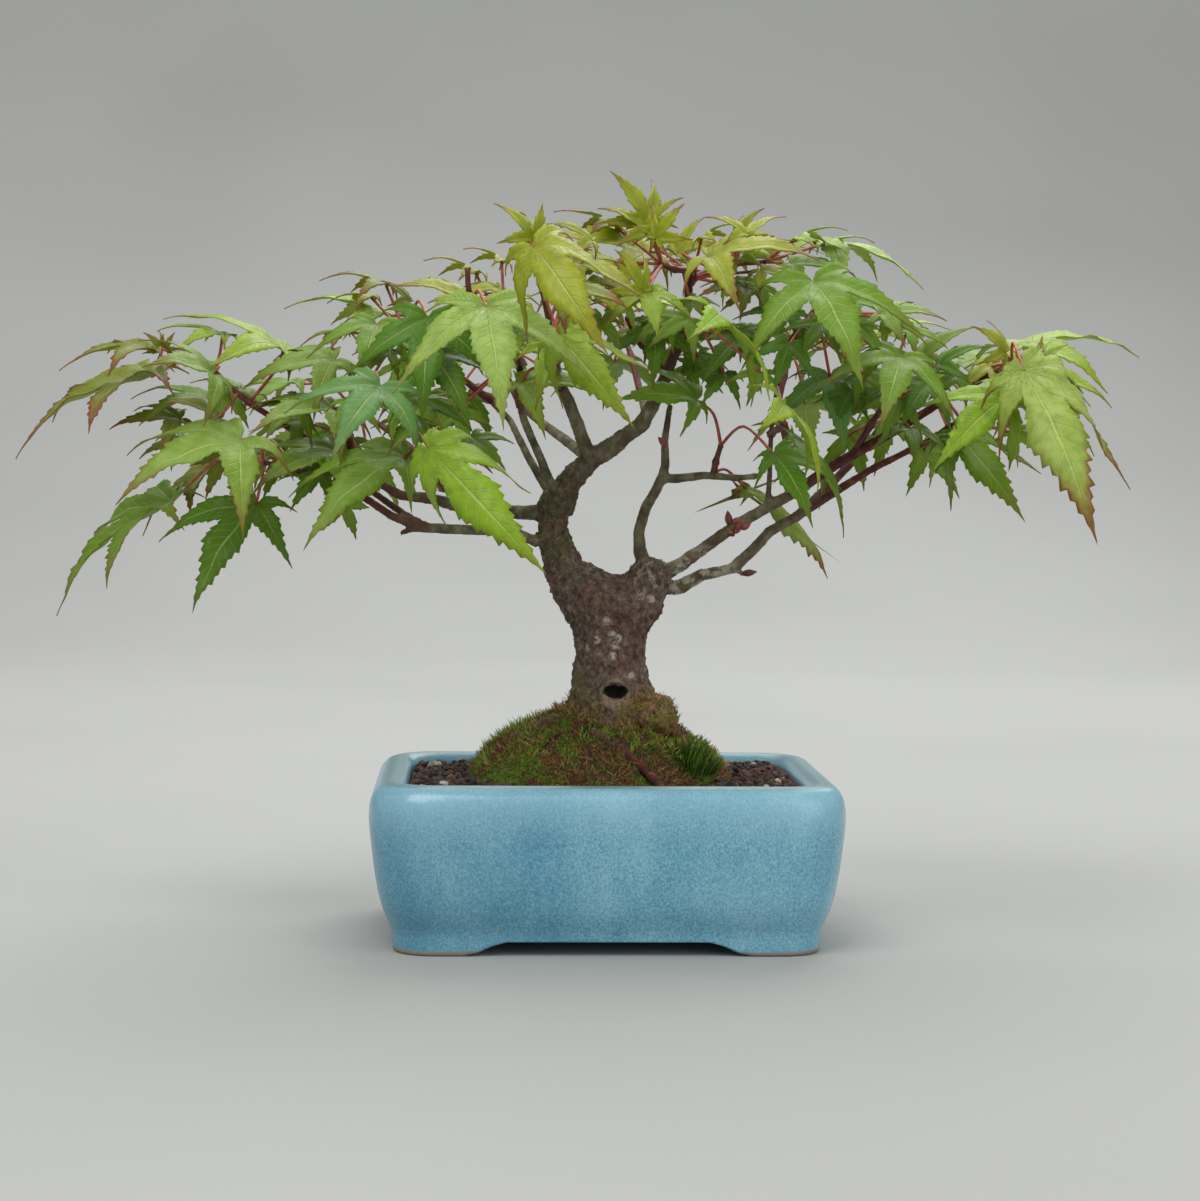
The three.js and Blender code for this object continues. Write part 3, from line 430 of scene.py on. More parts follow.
moss = {
    "voxel": 0.0008, "lump": 0.75, "scatter": 9000, "length": (1, 2.1), "width": 0.18,
    "reach": 57, "bare": (2.3, -9, 57.6), "bareReach": 3.6,         # nothing grows in the hollow
    "lean": {True: 0.9, False: 0.45},       # how far flat and upright growth lies over
    "stretch": {"dark": 1, "dry": 0.95, "fibre": 1.25, "bright": 0.9},
    "bright": ["8ea634", "a3b83e", "b9c95a", "748c26"],
    "dark": ["355a16", "44701a", "538420", "2b4c12"],
    "dry": ["7a5632", "98763f", "b4974f", "5c3e27", "6e4a2e"],
    "fibre": ["a8863f", "c4a65c", "8c6a34", "7d5a2c", "d0b878"],
    "tuft": {"middle": (18.6, -12.5), "half": (7.6, 7), "height": 41.5, "rise": 4.5, "count": 520,
             "length": (2.6, 5.2)},
}


def mossKind(x, y):                         # which growth covers a place on the mound
    patch = noise.noise(Vector((x * 0.16, y * 0.16, 3))) + 0.35 * noise.noise(Vector((x * 0.45, y * 0.45, 8)))
    if math.hypot(x - 2, y + 1) < 14 and patch > -0.3:
        return "fibre"                      # dried fibres round the foot of the trunk
    if x < -6 and y > 1:
        return "bright" if patch > -0.45 else "dry"
    if x < -6:
        return "dry" if patch > -0.12 else "fibre" if patch > -0.26 else "bright"
    if y > 2:
        return "bright" if patch > 0.05 else "dark" if patch > -0.2 else "dry"
    return "bright" if patch > 0.12 else "dark" if patch > 0 else "fibre" if patch < -0.3 else "dry"


def addSprig(bm, tone, place, ahead, length, width, tints):
    turn = ahead.to_track_quat("Z", "Y").to_matrix().to_4x4()
    matrix = Matrix.Translation(place + ahead * length * 0.42) @ turn
    verts = bmesh.ops.create_cone(bm, cap_ends=False, segments=3, radius1=width, radius2=width * 0.12,
                                  depth=length, matrix=matrix)["verts"]
    for vert in verts:
        vert[tone] = tints[1] if (vert.co - place).dot(ahead) > length * 0.5 else tints[0]


def groundPaint():
    paint = Paint("mound_earth", {"Specular IOR Level": 0.25})
    fibre = paint.grain(1500, 4, 0.75)
    patch = paint.grain(130, 3)
    earth = paint.ramp(fibre, (0.3, "2a1b12"), (0.5, "553a25"), (0.62, "80603a"),
                       (0.75, "a5854f"))
    green = paint.ramp(fibre, (0.3, "2a3a0e"), (0.6, "607a1e"), (0.8, "93a63c"))
    side = paint.axis("X").step(-0.002, -0.012)
    tint = paint.mix(earth, green, (patch + side * 0.12).step(0.5, 0.62))
    return paint.feed(colour=tint, roughness=fibre * 0.15 + 0.82, normal=paint.bump(fibre, 0.0006))


def bladePaint():
    paint = Paint("moss_blades", {"Roughness": 0.6, "Specular IOR Level": 0.3})
    shade = paint.grain(900).step(0.55, 0.35) * 0.35
    tint = paint.mix(paint.attribute("tone", "Color"), "2c3a0c", shade)
    return paint.feed(colour=tint)


def makeMound():
    bm = remeshed("moss_mound", moss["voxel"], 2)
    for vert in bm.verts:
        at = potFrame.inverted() @ vert.co
        lumps = noise.noise(at * 0.32) + 0.6 * noise.noise(at * 0.8) + 0.5 * noise.noise(at * 1.7)
        top = max(0, min(1, (at.z - 36.5) / 2))
        vert.co += vert.normal * lumps * moss["lump"] * top * mm
    finishPiece("moss_ground", bm, [groundPaint()], ["moss_mound"])


# painted shade: a sprig's lower half at 0.45 of its tip's colour, as if shaded low in the growth
def shadedFootLitTip(kind, draw):
    code = draw.choice(moss[kind])
    light = colour(code)
    return tuple(c * 0.45 for c in light[:3]) + (1,), light


def makeMoss():
    draw = random.Random(11)
    depsgraph = bpy.context.evaluated_depsgraph_get()
    covers = [BVHTree.FromObject(bpy.data.objects[name], depsgraph) for name in ("moss_ground", "bark")]
    bm = bmesh.new()
    tone = bm.verts.layers.float_color.new("tone")
    for _ in range(moss["scatter"]):
        angle, share = draw.uniform(0, 2 * math.pi), math.sqrt(draw.uniform(0.05, 0.99))
        x = soil["moundMiddle"][0] + soil["moundHalf"][0] * share * math.cos(angle)
        y = soil["moundMiddle"][1] + soil["moundHalf"][1] * share * math.sin(angle)
        above = potFrame @ Vector((x, y, moss["reach"]))
        hits = [cover.ray_cast(above, Vector((0, 0, -1))) for cover in covers]
        place, normal, _, gap = min(hits, key=lambda hit: hit[3] or 1)
        if place is None or gap < 0.0002:
            continue
        at = potFrame.inverted() @ place
        if (at - Vector(moss["bare"])).length < moss["bareReach"]:
            continue
        kind = mossKind(x, y)
        if kind == "dry" and draw.random() < 0.3:
            continue
        flat = kind in ("dry", "fibre")
        over = moss["lean"][flat]
        lean = Vector((draw.gauss(0, over), draw.gauss(0, over), draw.gauss(0.35, 0.3)))
        length = draw.uniform(*moss["length"]) * moss["stretch"][kind]
        length *= 1.7 if x < -15 and kind == "bright" else 1
        width = moss["width"] * (0.8 if flat else 1)
        addSprig(bm, tone, at, (normal + lean).normalized(), length, width, shadedFootLitTip(kind, draw))
    tuft = moss["tuft"]
    for _ in range(tuft["count"]):
        angle, share = draw.uniform(0, 2 * math.pi), math.sqrt(draw.random())
        offset = Vector((math.cos(angle), math.sin(angle))) * share
        x, y = (tuft["middle"][k] + tuft["half"][k] * offset[k] for k in (0, 1))
        dome = tuft["height"] + tuft["rise"] * (1 - share * share)
        ahead = Vector((*(offset[k] * 0.9 + draw.gauss(0, 0.2) for k in (0, 1)), 1)).normalized()
        length = draw.uniform(*tuft["length"])
        kind = "dark" if draw.random() < 0.8 else "bright"
        addSprig(bm, tone, Vector((x, y, dome - 2)), ahead, length, moss["width"] * 1.25, shadedFootLitTip(kind, draw))
    bmesh.ops.transform(bm, matrix=potFrame, verts=bm.verts)
    finishPiece("moss_growth", bm, [bladePaint()])


makeMound()


# the trunk, its branches and roots

tree = {"voxel": 0.0005, "smoothing": 2, "ridge": 0.3, "knobs": 0.95, "crust": 0.75,
        "thin": 1.15, "thick": 3.2, "fork": 92, "greyTo": 38, "redOver": 20,
        "flecks": [(0.2, -9.5, 75.3), (1.6, -9.1, 71.9), (3, -8.5, 71), (-2.1, -8.5, 70.6), (1.9, -8.7, 66.9),
                   (6.4, -7.8, 62.1), (-4.4, -5.8, 68.6), (2.4, -8.6, 69.4), (10.8, -6.9, 80.5)],
        "hollow": [(0.4, -8, 58.6), (2.3, -8, 58.4), (4.2, -8, 58.5)]}


def barkPaint():
    paint = Paint("maple_bark", {"Specular IOR Level": 0.3})
    girth = paint.attribute("girth")        # 0 on twigs, 1 on the trunk
    reach = paint.attribute("reach")        # 0 at the fork, 1 far out
    height = paint.axis("Z")
    along = paint.stretched(0.75)
    fissures = paint.grain(760, 5, 0.74, along)
    patches = paint.grain(150, 4, 0.6)
    old = paint.ramp(fissures, (0.3, "30261f"), (0.44, "5b4a3f"), (0.56, "7a695b"),
                     (0.7, "a59382"))
    rust = paint.ramp(fissures, (0.3, "2f1e19"), (0.5, "684a3e"), (0.66, "8e6854"))
    old = paint.mix(old, rust, patches.step(0.46, 0.6) * 0.7)
    olive = paint.ramp(fissures, (0.3, "2d2818"), (0.55, "5f573a"), (0.75, "888060"))
    limb = paint.near((-11, -3, 99), 7, 18) * 0.6
    green = height.step(0.078, 0.1) * 0.35 + limb
    old = paint.mix(old, olive, green * paint.grain(190, 3).step(0.36, 0.56))
    burr = paint.near((12, -9, 52), 6, 10) * paint.grain(1100, 4, 0.7).step(0.42, 0.56)
    old = paint.mix(old, "a8833f", burr * 0.75)
    mossy = (1 - height.step(0.05, 0.068)) * 0.5 + paint.near((-13, -5, 54), 5, 14) * 0.6
    old = paint.mix(old, "6b7329", mossy * paint.grain(300, 3).step(0.42, 0.58))
    ragged = paint.grain(900, 3, 0.7).step(0.42, 0.52)
    flecks = sum(paint.near(place, 0.6, 1.3) for place in tree["flecks"]) * ragged
    knob = paint.near((10.5, -6, 84), 3.5, 8) * paint.grain(520, 4, 0.7).step(0.52, 0.6)
    old = paint.mix(old, "c9bdaf", flecks * 0.8 + knob * 0.5)
    old = paint.mix(old, "a08b78", paint.near((2.3, -11, 58.2), 3.2, 4.6) * ragged * 0.7)
    # painted shade: the inside of the knot hole darkened nearly to black
    hollow = sum(paint.near(place, 1.5, 2.2) for place in tree["hollow"])
    old = paint.mix(old, "100b09", hollow * 0.96)
    foot = (1 - height.step(0.0485, 0.053)) * paint.grain(420, 4, 0.7).step(0.3, 0.5)
    old = paint.mix(old, paint.ramp(paint.grain(1300, 4), (0.3, "3a2418"), (0.6, "84603a"),
                                    (0.75, "a5854f")), foot)
    grey = paint.ramp(paint.grain(330, 4, 0.6, along), (0.34, "4f4937"), (0.5, "716c50"),
                      (0.64, "8c866c"), (0.78, "b6ae96"))
    grey = paint.mix(grey, "5f4032", paint.grain(210, 3).step(0.52, 0.62) * 0.5)
    chalk = paint.near((22, -4, 83), 6, 14) * paint.grain(460, 3).step(0.46, 0.58)
    grey = paint.mix(grey, "c4bdad", chalk * 0.6)
    twig = paint.ramp(paint.grain(380, 3), (0.35, "4a251f"), (0.6, "6a372d"), (0.75, "7f5e44"))
    young = paint.mix(grey, twig, reach)
    tint = paint.mix(young, old, girth.step(0.4, 0.85))
    relief = fissures * 0.7 + paint.grain(2400, 3, 0.7) * 0.35
    return paint.feed(colour=tint, roughness=fissures * 0.25 + 0.58, normal=paint.bump(relief, 0.0009))


def makeTree():
    bm = remeshed("tree", tree["voxel"], tree["smoothing"])
    surface = BVHTree.FromBMesh(bm)
    girth, reach = bm.verts.layers.float.new("girth"), bm.verts.layers.float.new("reach")
    for vert in bm.verts:
        hit = surface.ray_cast(vert.co - vert.normal * 0.0001, -vert.normal)
        half = hit[3] / 2 / mm if hit[3] else tree["thin"]
        vert[girth] = max(0, min(1, (half - tree["thin"]) / (tree["thick"] - tree["thin"])))
    for _ in range(6):                      # evens the measure out, so that it doesn't flicker over knobs
        for vert in bm.verts:
            near = [edge.other_vert(vert)[girth] for edge in vert.link_edges]
            vert[girth] = 0.4 * vert[girth] + 0.6 * sum(near) / len(near)
    for vert in bm.verts:
        at = potFrame.inverted() @ vert.co
        out = math.hypot(at.x, (at.z - tree["fork"]) * 1.1, at.y)
        vert[reach] = max(0, min(1, (out - tree["greyTo"]) / tree["redOver"]))
        ridges = noise.noise(Vector((at.x * 0.55, at.y * 0.55, at.z * 0.2)))
        knobs = noise.noise(at * 0.3) * 0.6 + noise.noise(at * 0.8) * 0.4
        crust = abs(noise.noise(at * 0.9)) + 0.7 * abs(noise.noise(at * 1.6))
        size = 0.1 + 0.9 * vert[girth]
        push = ridges * tree["ridge"] + knobs * tree["knobs"] - (crust - 0.2) * tree["crust"]
        vert.co += vert.normal * push * size * mm
    finishPiece("bark", bm, [barkPaint()], ["tree"])


makeTree()
makeMoss()


# the buds on the bare branches

buds = {
    "tints": ["6e2f28", "8a4034", "5a261f"], "sides": 7,
    "places": [             # where a bud sits, which way it points, its length and its half-width
        ((32.5, -9, 94.5), (0.5, -0.4, 1), 3.4, 1), ((34.5, -9, 93.5), (1, -0.3, 0.7), 3, 0.9),
        ((31, -8.6, 93.6), (-0.7, -0.4, 0.8), 2.6, 0.8), ((28.6, -8, 99.8), (-0.2, -0.3, 1), 3.6, 1),
        ((30, -8, 99.2), (0.9, -0.3, 0.6), 2.6, 0.8), ((34.5, -7.6, 86.4), (1, -0.2, 0.15), 3.4, 0.9),
        ((-27.6, -6, 108), (0.3, -0.5, 1), 2.6, 0.8), ((14, -6.5, 117), (-0.8, -0.3, 0.8), 3, 0.9),
    ],
}


def budPaint():
    paint = Paint("winter_bud", {"Roughness": 0.45})
    return paint.feed(colour=paint.mix(paint.attribute("tone", "Color"), "b08a5c",
                                       paint.grain(900, 2).step(0.52, 0.66) * 0.5))


def makeBuds():
    bm = bmesh.new()
    tone = bm.verts.layers.float_color.new("tone")
    surface = BVHTree.FromObject(bpy.data.objects["bark"], bpy.context.evaluated_depsgraph_get())
    for i, (place, ahead, length, half) in enumerate(buds["places"]):
        foot = potFrame.inverted() @ surface.find_nearest(potFrame @ Vector(place))[0]
        ahead = Vector(ahead).normalized()
        shape = [(0, 0.55), (0.2, 0.9), (0.45, 1), (0.7, 0.7), (0.9, 0.3), (1, 0.08)]
        run = [(*(foot + ahead * (share * length - 0.4)), half * width) for share, width in shape]
        for face in addTube(bm, run, buds["sides"]):
            for vert in face.verts:
                vert[tone] = colour(buds["tints"][i % len(buds["tints"])])
    bmesh.ops.transform(bm, matrix=potFrame, verts=bm.verts)
    finishPiece("branch_buds", bm, [budPaint()])


makeBuds()


# the leafy sprays

facings = {"square": (0, -1, 0.05), "front": (0.04, -0.8, 0.6), "high": (0, -0.55, 0.83),
           "up": (0, -0.15, 0.99), "left": (-0.45, -0.25, 0.86), "rightward": (0.86, -0.3, 0.42),
           "back": (0, 0.6, 0.8)}
# each spray's shoot, then its leaves: hub, main tip, facing, tone, fold in degrees, side lobes' shares
sprays = {
    "far_left": ([(-59, -2.4, 108), (-70, -9, 117), (-84, -12, 126), (-92, -12, 133)], [
        ((-108, -12, 136), (-140, -22, 118), "left", "olive", -8),
        ((-91, -26, 132), (-104, -44, 134), "front", "sage"),
        ((-90, -5, 145), (-106, -2, 147), "up", "lime"),
        ((-93, 12, 130), (-114, 22, 132), "up", "mid"),
    ]),
    "left_low": ([(-62, -7, 105.7), (-71, -14, 110), (-80, -20, 112)], [
        ((-84, -34, 117), (-110, -52, 104), "high", "sage", 8),
        ((-101, -12, 121), (-117, -18, 119), "high", "olive"),
        ((-82, -28, 106), (-96, -42, 82), "high", "deep", 4, (0.7, 1)),
        ((-104, 6, 106), (-133, 4, 80), "left", "mid", -10),
    ]),
    "left_middle": ([(-54.9, -11, 108.1), (-60, -18, 116), (-60, -22, 124)], [
        ((-64, -32, 128), (-82, -50, 123), "high", "sage"),
        ((-52, -40, 129), (-62, -58, 113), "front", "blue", 8),
        ((-63, -26, 117), (-82, -42, 108), "high", "sage"),
        ((-74, 10, 112), (-73, 12, 100), "front", "mid"),
        ((-65, 24, 105), (-61, 26, 95), "front", "mid"),
    ]),
    "left_high": ([(-27.7, 4, 127.5), (-38, -4, 135), (-48, -10, 142)], [
        ((-52, -6, 151), (-77, -10, 154), "up", "lime"),
        ((-54, -22, 144), (-57, -38, 130), "front", "mid"),
        ((-42, 2, 146), (-51, -10, 137), "high", "dark"),
        ((-47, 10, 139), (-58, 14, 134), "high", "mid"),
    ]),
    "front_left": ([(-38.5, -26, 106.5), (-41, -34, 111), (-44, -38, 114)], [
        ((-47, -44, 117), (-69, -66, 98), "high", "mid", 6, (0.5, 0.9)),
        ((-41, -60, 115), (-16, -76, 89), "square", "spring", 50, (0.7, 0.5)),
        ((-43, -20, 127), (-41, -28, 113), "front", "deep"),
        ((-37, -12, 118), (-26, -6, 122), "high", "olive"),
    ]),
    "front_big": ([(-20.6, -16, 135.7), (-25, -34, 141), (-32, -50, 148), (-33, -52, 155)], [
        ((-29, -66, 146), (-25, -86, 120), "front", "mint", 10),
        ((-32, -40, 151), (-49, -48, 155), "high", "gold"),
        ((-41, -30, 137), (-32, -44, 121), "front", "deep", 10),
    ]),
    "front_high": ([(-11.1, -10, 130.4), (-14, -36, 141), (-17, -56, 151)], [
        ((-19, -74, 158), (-4, -92, 135), "square", "gold", 40, (0.9, 0.7)),
        ((-15, -24, 140), (0, -32, 128), "high", "lime"),
        ((-13, -50, 144), (3, -66, 124), "square", "lime", 44, (0.9, 0.6)),
        ((-6, -34, 153), (2, -44, 144), "high", "gold"),
    ]),
    "top_left": ([(19.6, -4, 158.6), (15, -14, 158), (12, -16, 159)], [
        ((9, -22, 166), (-17, -30, 168), "high", "gold"),
        ((7, -40, 151), (9, -52, 140), "front", "lime", 10),
        ((0, -4, 163), (-14, -2, 166), "up", "olive"),
        ((13, 10, 164), (4, 18, 161), "up", "olive"),
        ((9, -30, 165), (0, -32, 177), "front", "gold"),
    ]),
    "top_right": ([(19.2, -4, 156), (28, 0, 160), (38, 0, 161)], [
        ((22, -26, 160), (46, -38, 160), "high", "gold"),
        ((51, 4, 166), (76, -4, 156), "up", "mint"),
        ((32, 8, 152), (44, 16, 152), "up", "lime"),
        ((31, 12, 168), (43, 18, 177), "up", "gold"),
    ]),
    "right_high": ([(40.7, -10, 134.7), (43, -16, 142), (47, -22, 148)], [
        ((45, -36, 154), (54, -58, 130), "front", "mid", 8),
        ((52, -28, 137), (54, -42, 119), "front", "blue"),
        ((62, -10, 144), (77, -14, 143), "high", "sage"),
        ((46, 10, 150), (33, 14, 149), "up", "mid"),
        ((57, 0, 151), (56, -4, 138), "front", "mid"),
    ]),
    "inner_right": ([(17.3, -5, 141.9), (20, -12, 144), (22, -20, 145)], [
        ((22, -44, 145), (34, -60, 127), "rightward", "spring", 8),
        ((11, -12, 145), (10, -20, 130), "front", "deep", 8),
        ((31, -6, 140), (21, -16, 129), "front", "deep", 8),
        ((11, 12, 141), (-2, 8, 137), "high", "olive"),
        ((21, 16, 140), (20, 14, 128), "front", "mid"),
    ]),
    "middle_star": ([(25.6, -5, 110), (26, -6, 113), (27, -8, 117)], [
        ((21, -26, 124), (1, -36, 124), "front", "bright", 6, (0.6, 0.9)),
        ((37, -32, 115), (45, -44, 99), "front", "deep", 16, (1, 0.5)),
    ]),
    "right_star": ([(38.8, -9, 119.8), (40, -14, 121), (41, -19, 122)], [
        ((37, -46, 126), (45, -58, 107), "rightward", "lime"),
        ((43, -18, 123), (56, -28, 100), "rightward", "mid"),
    ]),
    "right_middle": ([(58, -11.5, 115), (62, -12, 122), (65, -14, 127)], [
        ((65, -38, 137), (58, -56, 121), "front", "mid", 8),
        ((78, 6, 140), (91, 12, 144), "high", "lime"),
        ((70, 12, 125), (66, 8, 110), "front", "mid", 8),
        ((71, -24, 125), (70, -36, 117), "front", "mid"),
        ((59, 18, 124), (63, 16, 110), "front", "mid"),
    ]),
    "far_right": ([(89.4, -14, 133.8), (92, -18, 135.2), (93.4, -22, 136.4)], [
        ((91, -48, 134), (103, -72, 97), "square", "pale", 44, (0.9, 0.5)),
        ((96, -12, 139), (129, -6, 140), "up", "lime"),
        ((90, -28, 134), (92, -38, 124), "front", "gold"),
        ((99, -22, 138), (101, -22, 147), "front", "gold"),
    ]),
    "right_low": ([(79.1, -6, 119.7), (81, -10, 121.8), (83.4, -14, 123.3)], [
        ((82, -28, 124), (96, -42, 104), "square", "mid", 44, (1, 0.75)),
        ((89, -36, 128), (71, -48, 112), "front", "spring", 14, (0.7, 0.9)),
        ((76, -12, 134), (88, -16, 143), "high", "sage"),
        ((110, 6, 126), (123, 12, 120), "up", "lime", 8),
        ((78, 10, 117), (87, 6, 105), "front", "mid"),
    ]),
    "rear_left": ([(-44.8, 42, 114.1), (-54, 46, 121), (-63, 50, 126)], [
        ((-70, 56, 122), (-91, 70, 118), "back", "sage"),
        ((-76, 40, 132), (-97, 44, 128), "up", "mid"),
        ((-57, 56, 136), (-73, 72, 141), "back", "olive"),
        ((-59, 62, 116), (-69, 78, 104), "back", "mid"),
    ]),
    "rear_middle": ([(-19.8, 37, 126.9), (-24, 44, 136), (-27, 48, 143)], [
        ((-34, 48, 143), (-49, 58, 148), "up", "lime"),
        ((-25, 36, 152), (-40, 42, 154), "up", "mid"),
        ((-16, 58, 146), (-19, 86, 145), "back", "mid"),
        ((-37, 60, 133), (-43, 76, 123), "back", "olive"),
    ]),
    "rear_centre": ([(9.9, 25, 129.2), (8, 34, 139), (6, 40, 146)], [
        ((-2, 38, 154), (-9, 60, 155), "back", "mid"),
        ((13, 44, 156), (20, 72, 156), "back", "lime"),
        ((4, 54, 142), (2, 74, 131), "back", "mid"),
    ]),
    "rear_top": ([(20.9, 13, 156.7), (25, 22, 160), (28, 26, 161)], [
        ((25, 36, 164), (22, 62, 162), "back", "gold"),
        ((36, 34, 164), (50, 54, 164), "back", "lime"),
        ((16, 30, 163), (2, 44, 163), "up", "mid"),
    ]),
    "rear_right": ([(44.7, 33, 127.2), (47, 38, 135), (49, 42, 142)], [
        ((42, 44, 147), (37, 66, 143), "back", "deep"),
        ((58, 46, 146), (71, 66, 149), "back", "mid"),
        ((53, 54, 132), (57, 74, 119), "back", "sage"),
    ]),
    "rear_far_right": ([(69.7, 26, 122.3), (77, 30, 128), (83, 32, 133)], [
        ((77, 42, 135), (86, 66, 132), "back", "deep"),
        ((89, 26, 139), (107, 40, 142), "up", "sage"),
        ((67, 24, 143), (79, 46, 148), "back", "lime"),
        ((92, 36, 124), (107, 52, 118), "back", "mid"),
    ]),
}
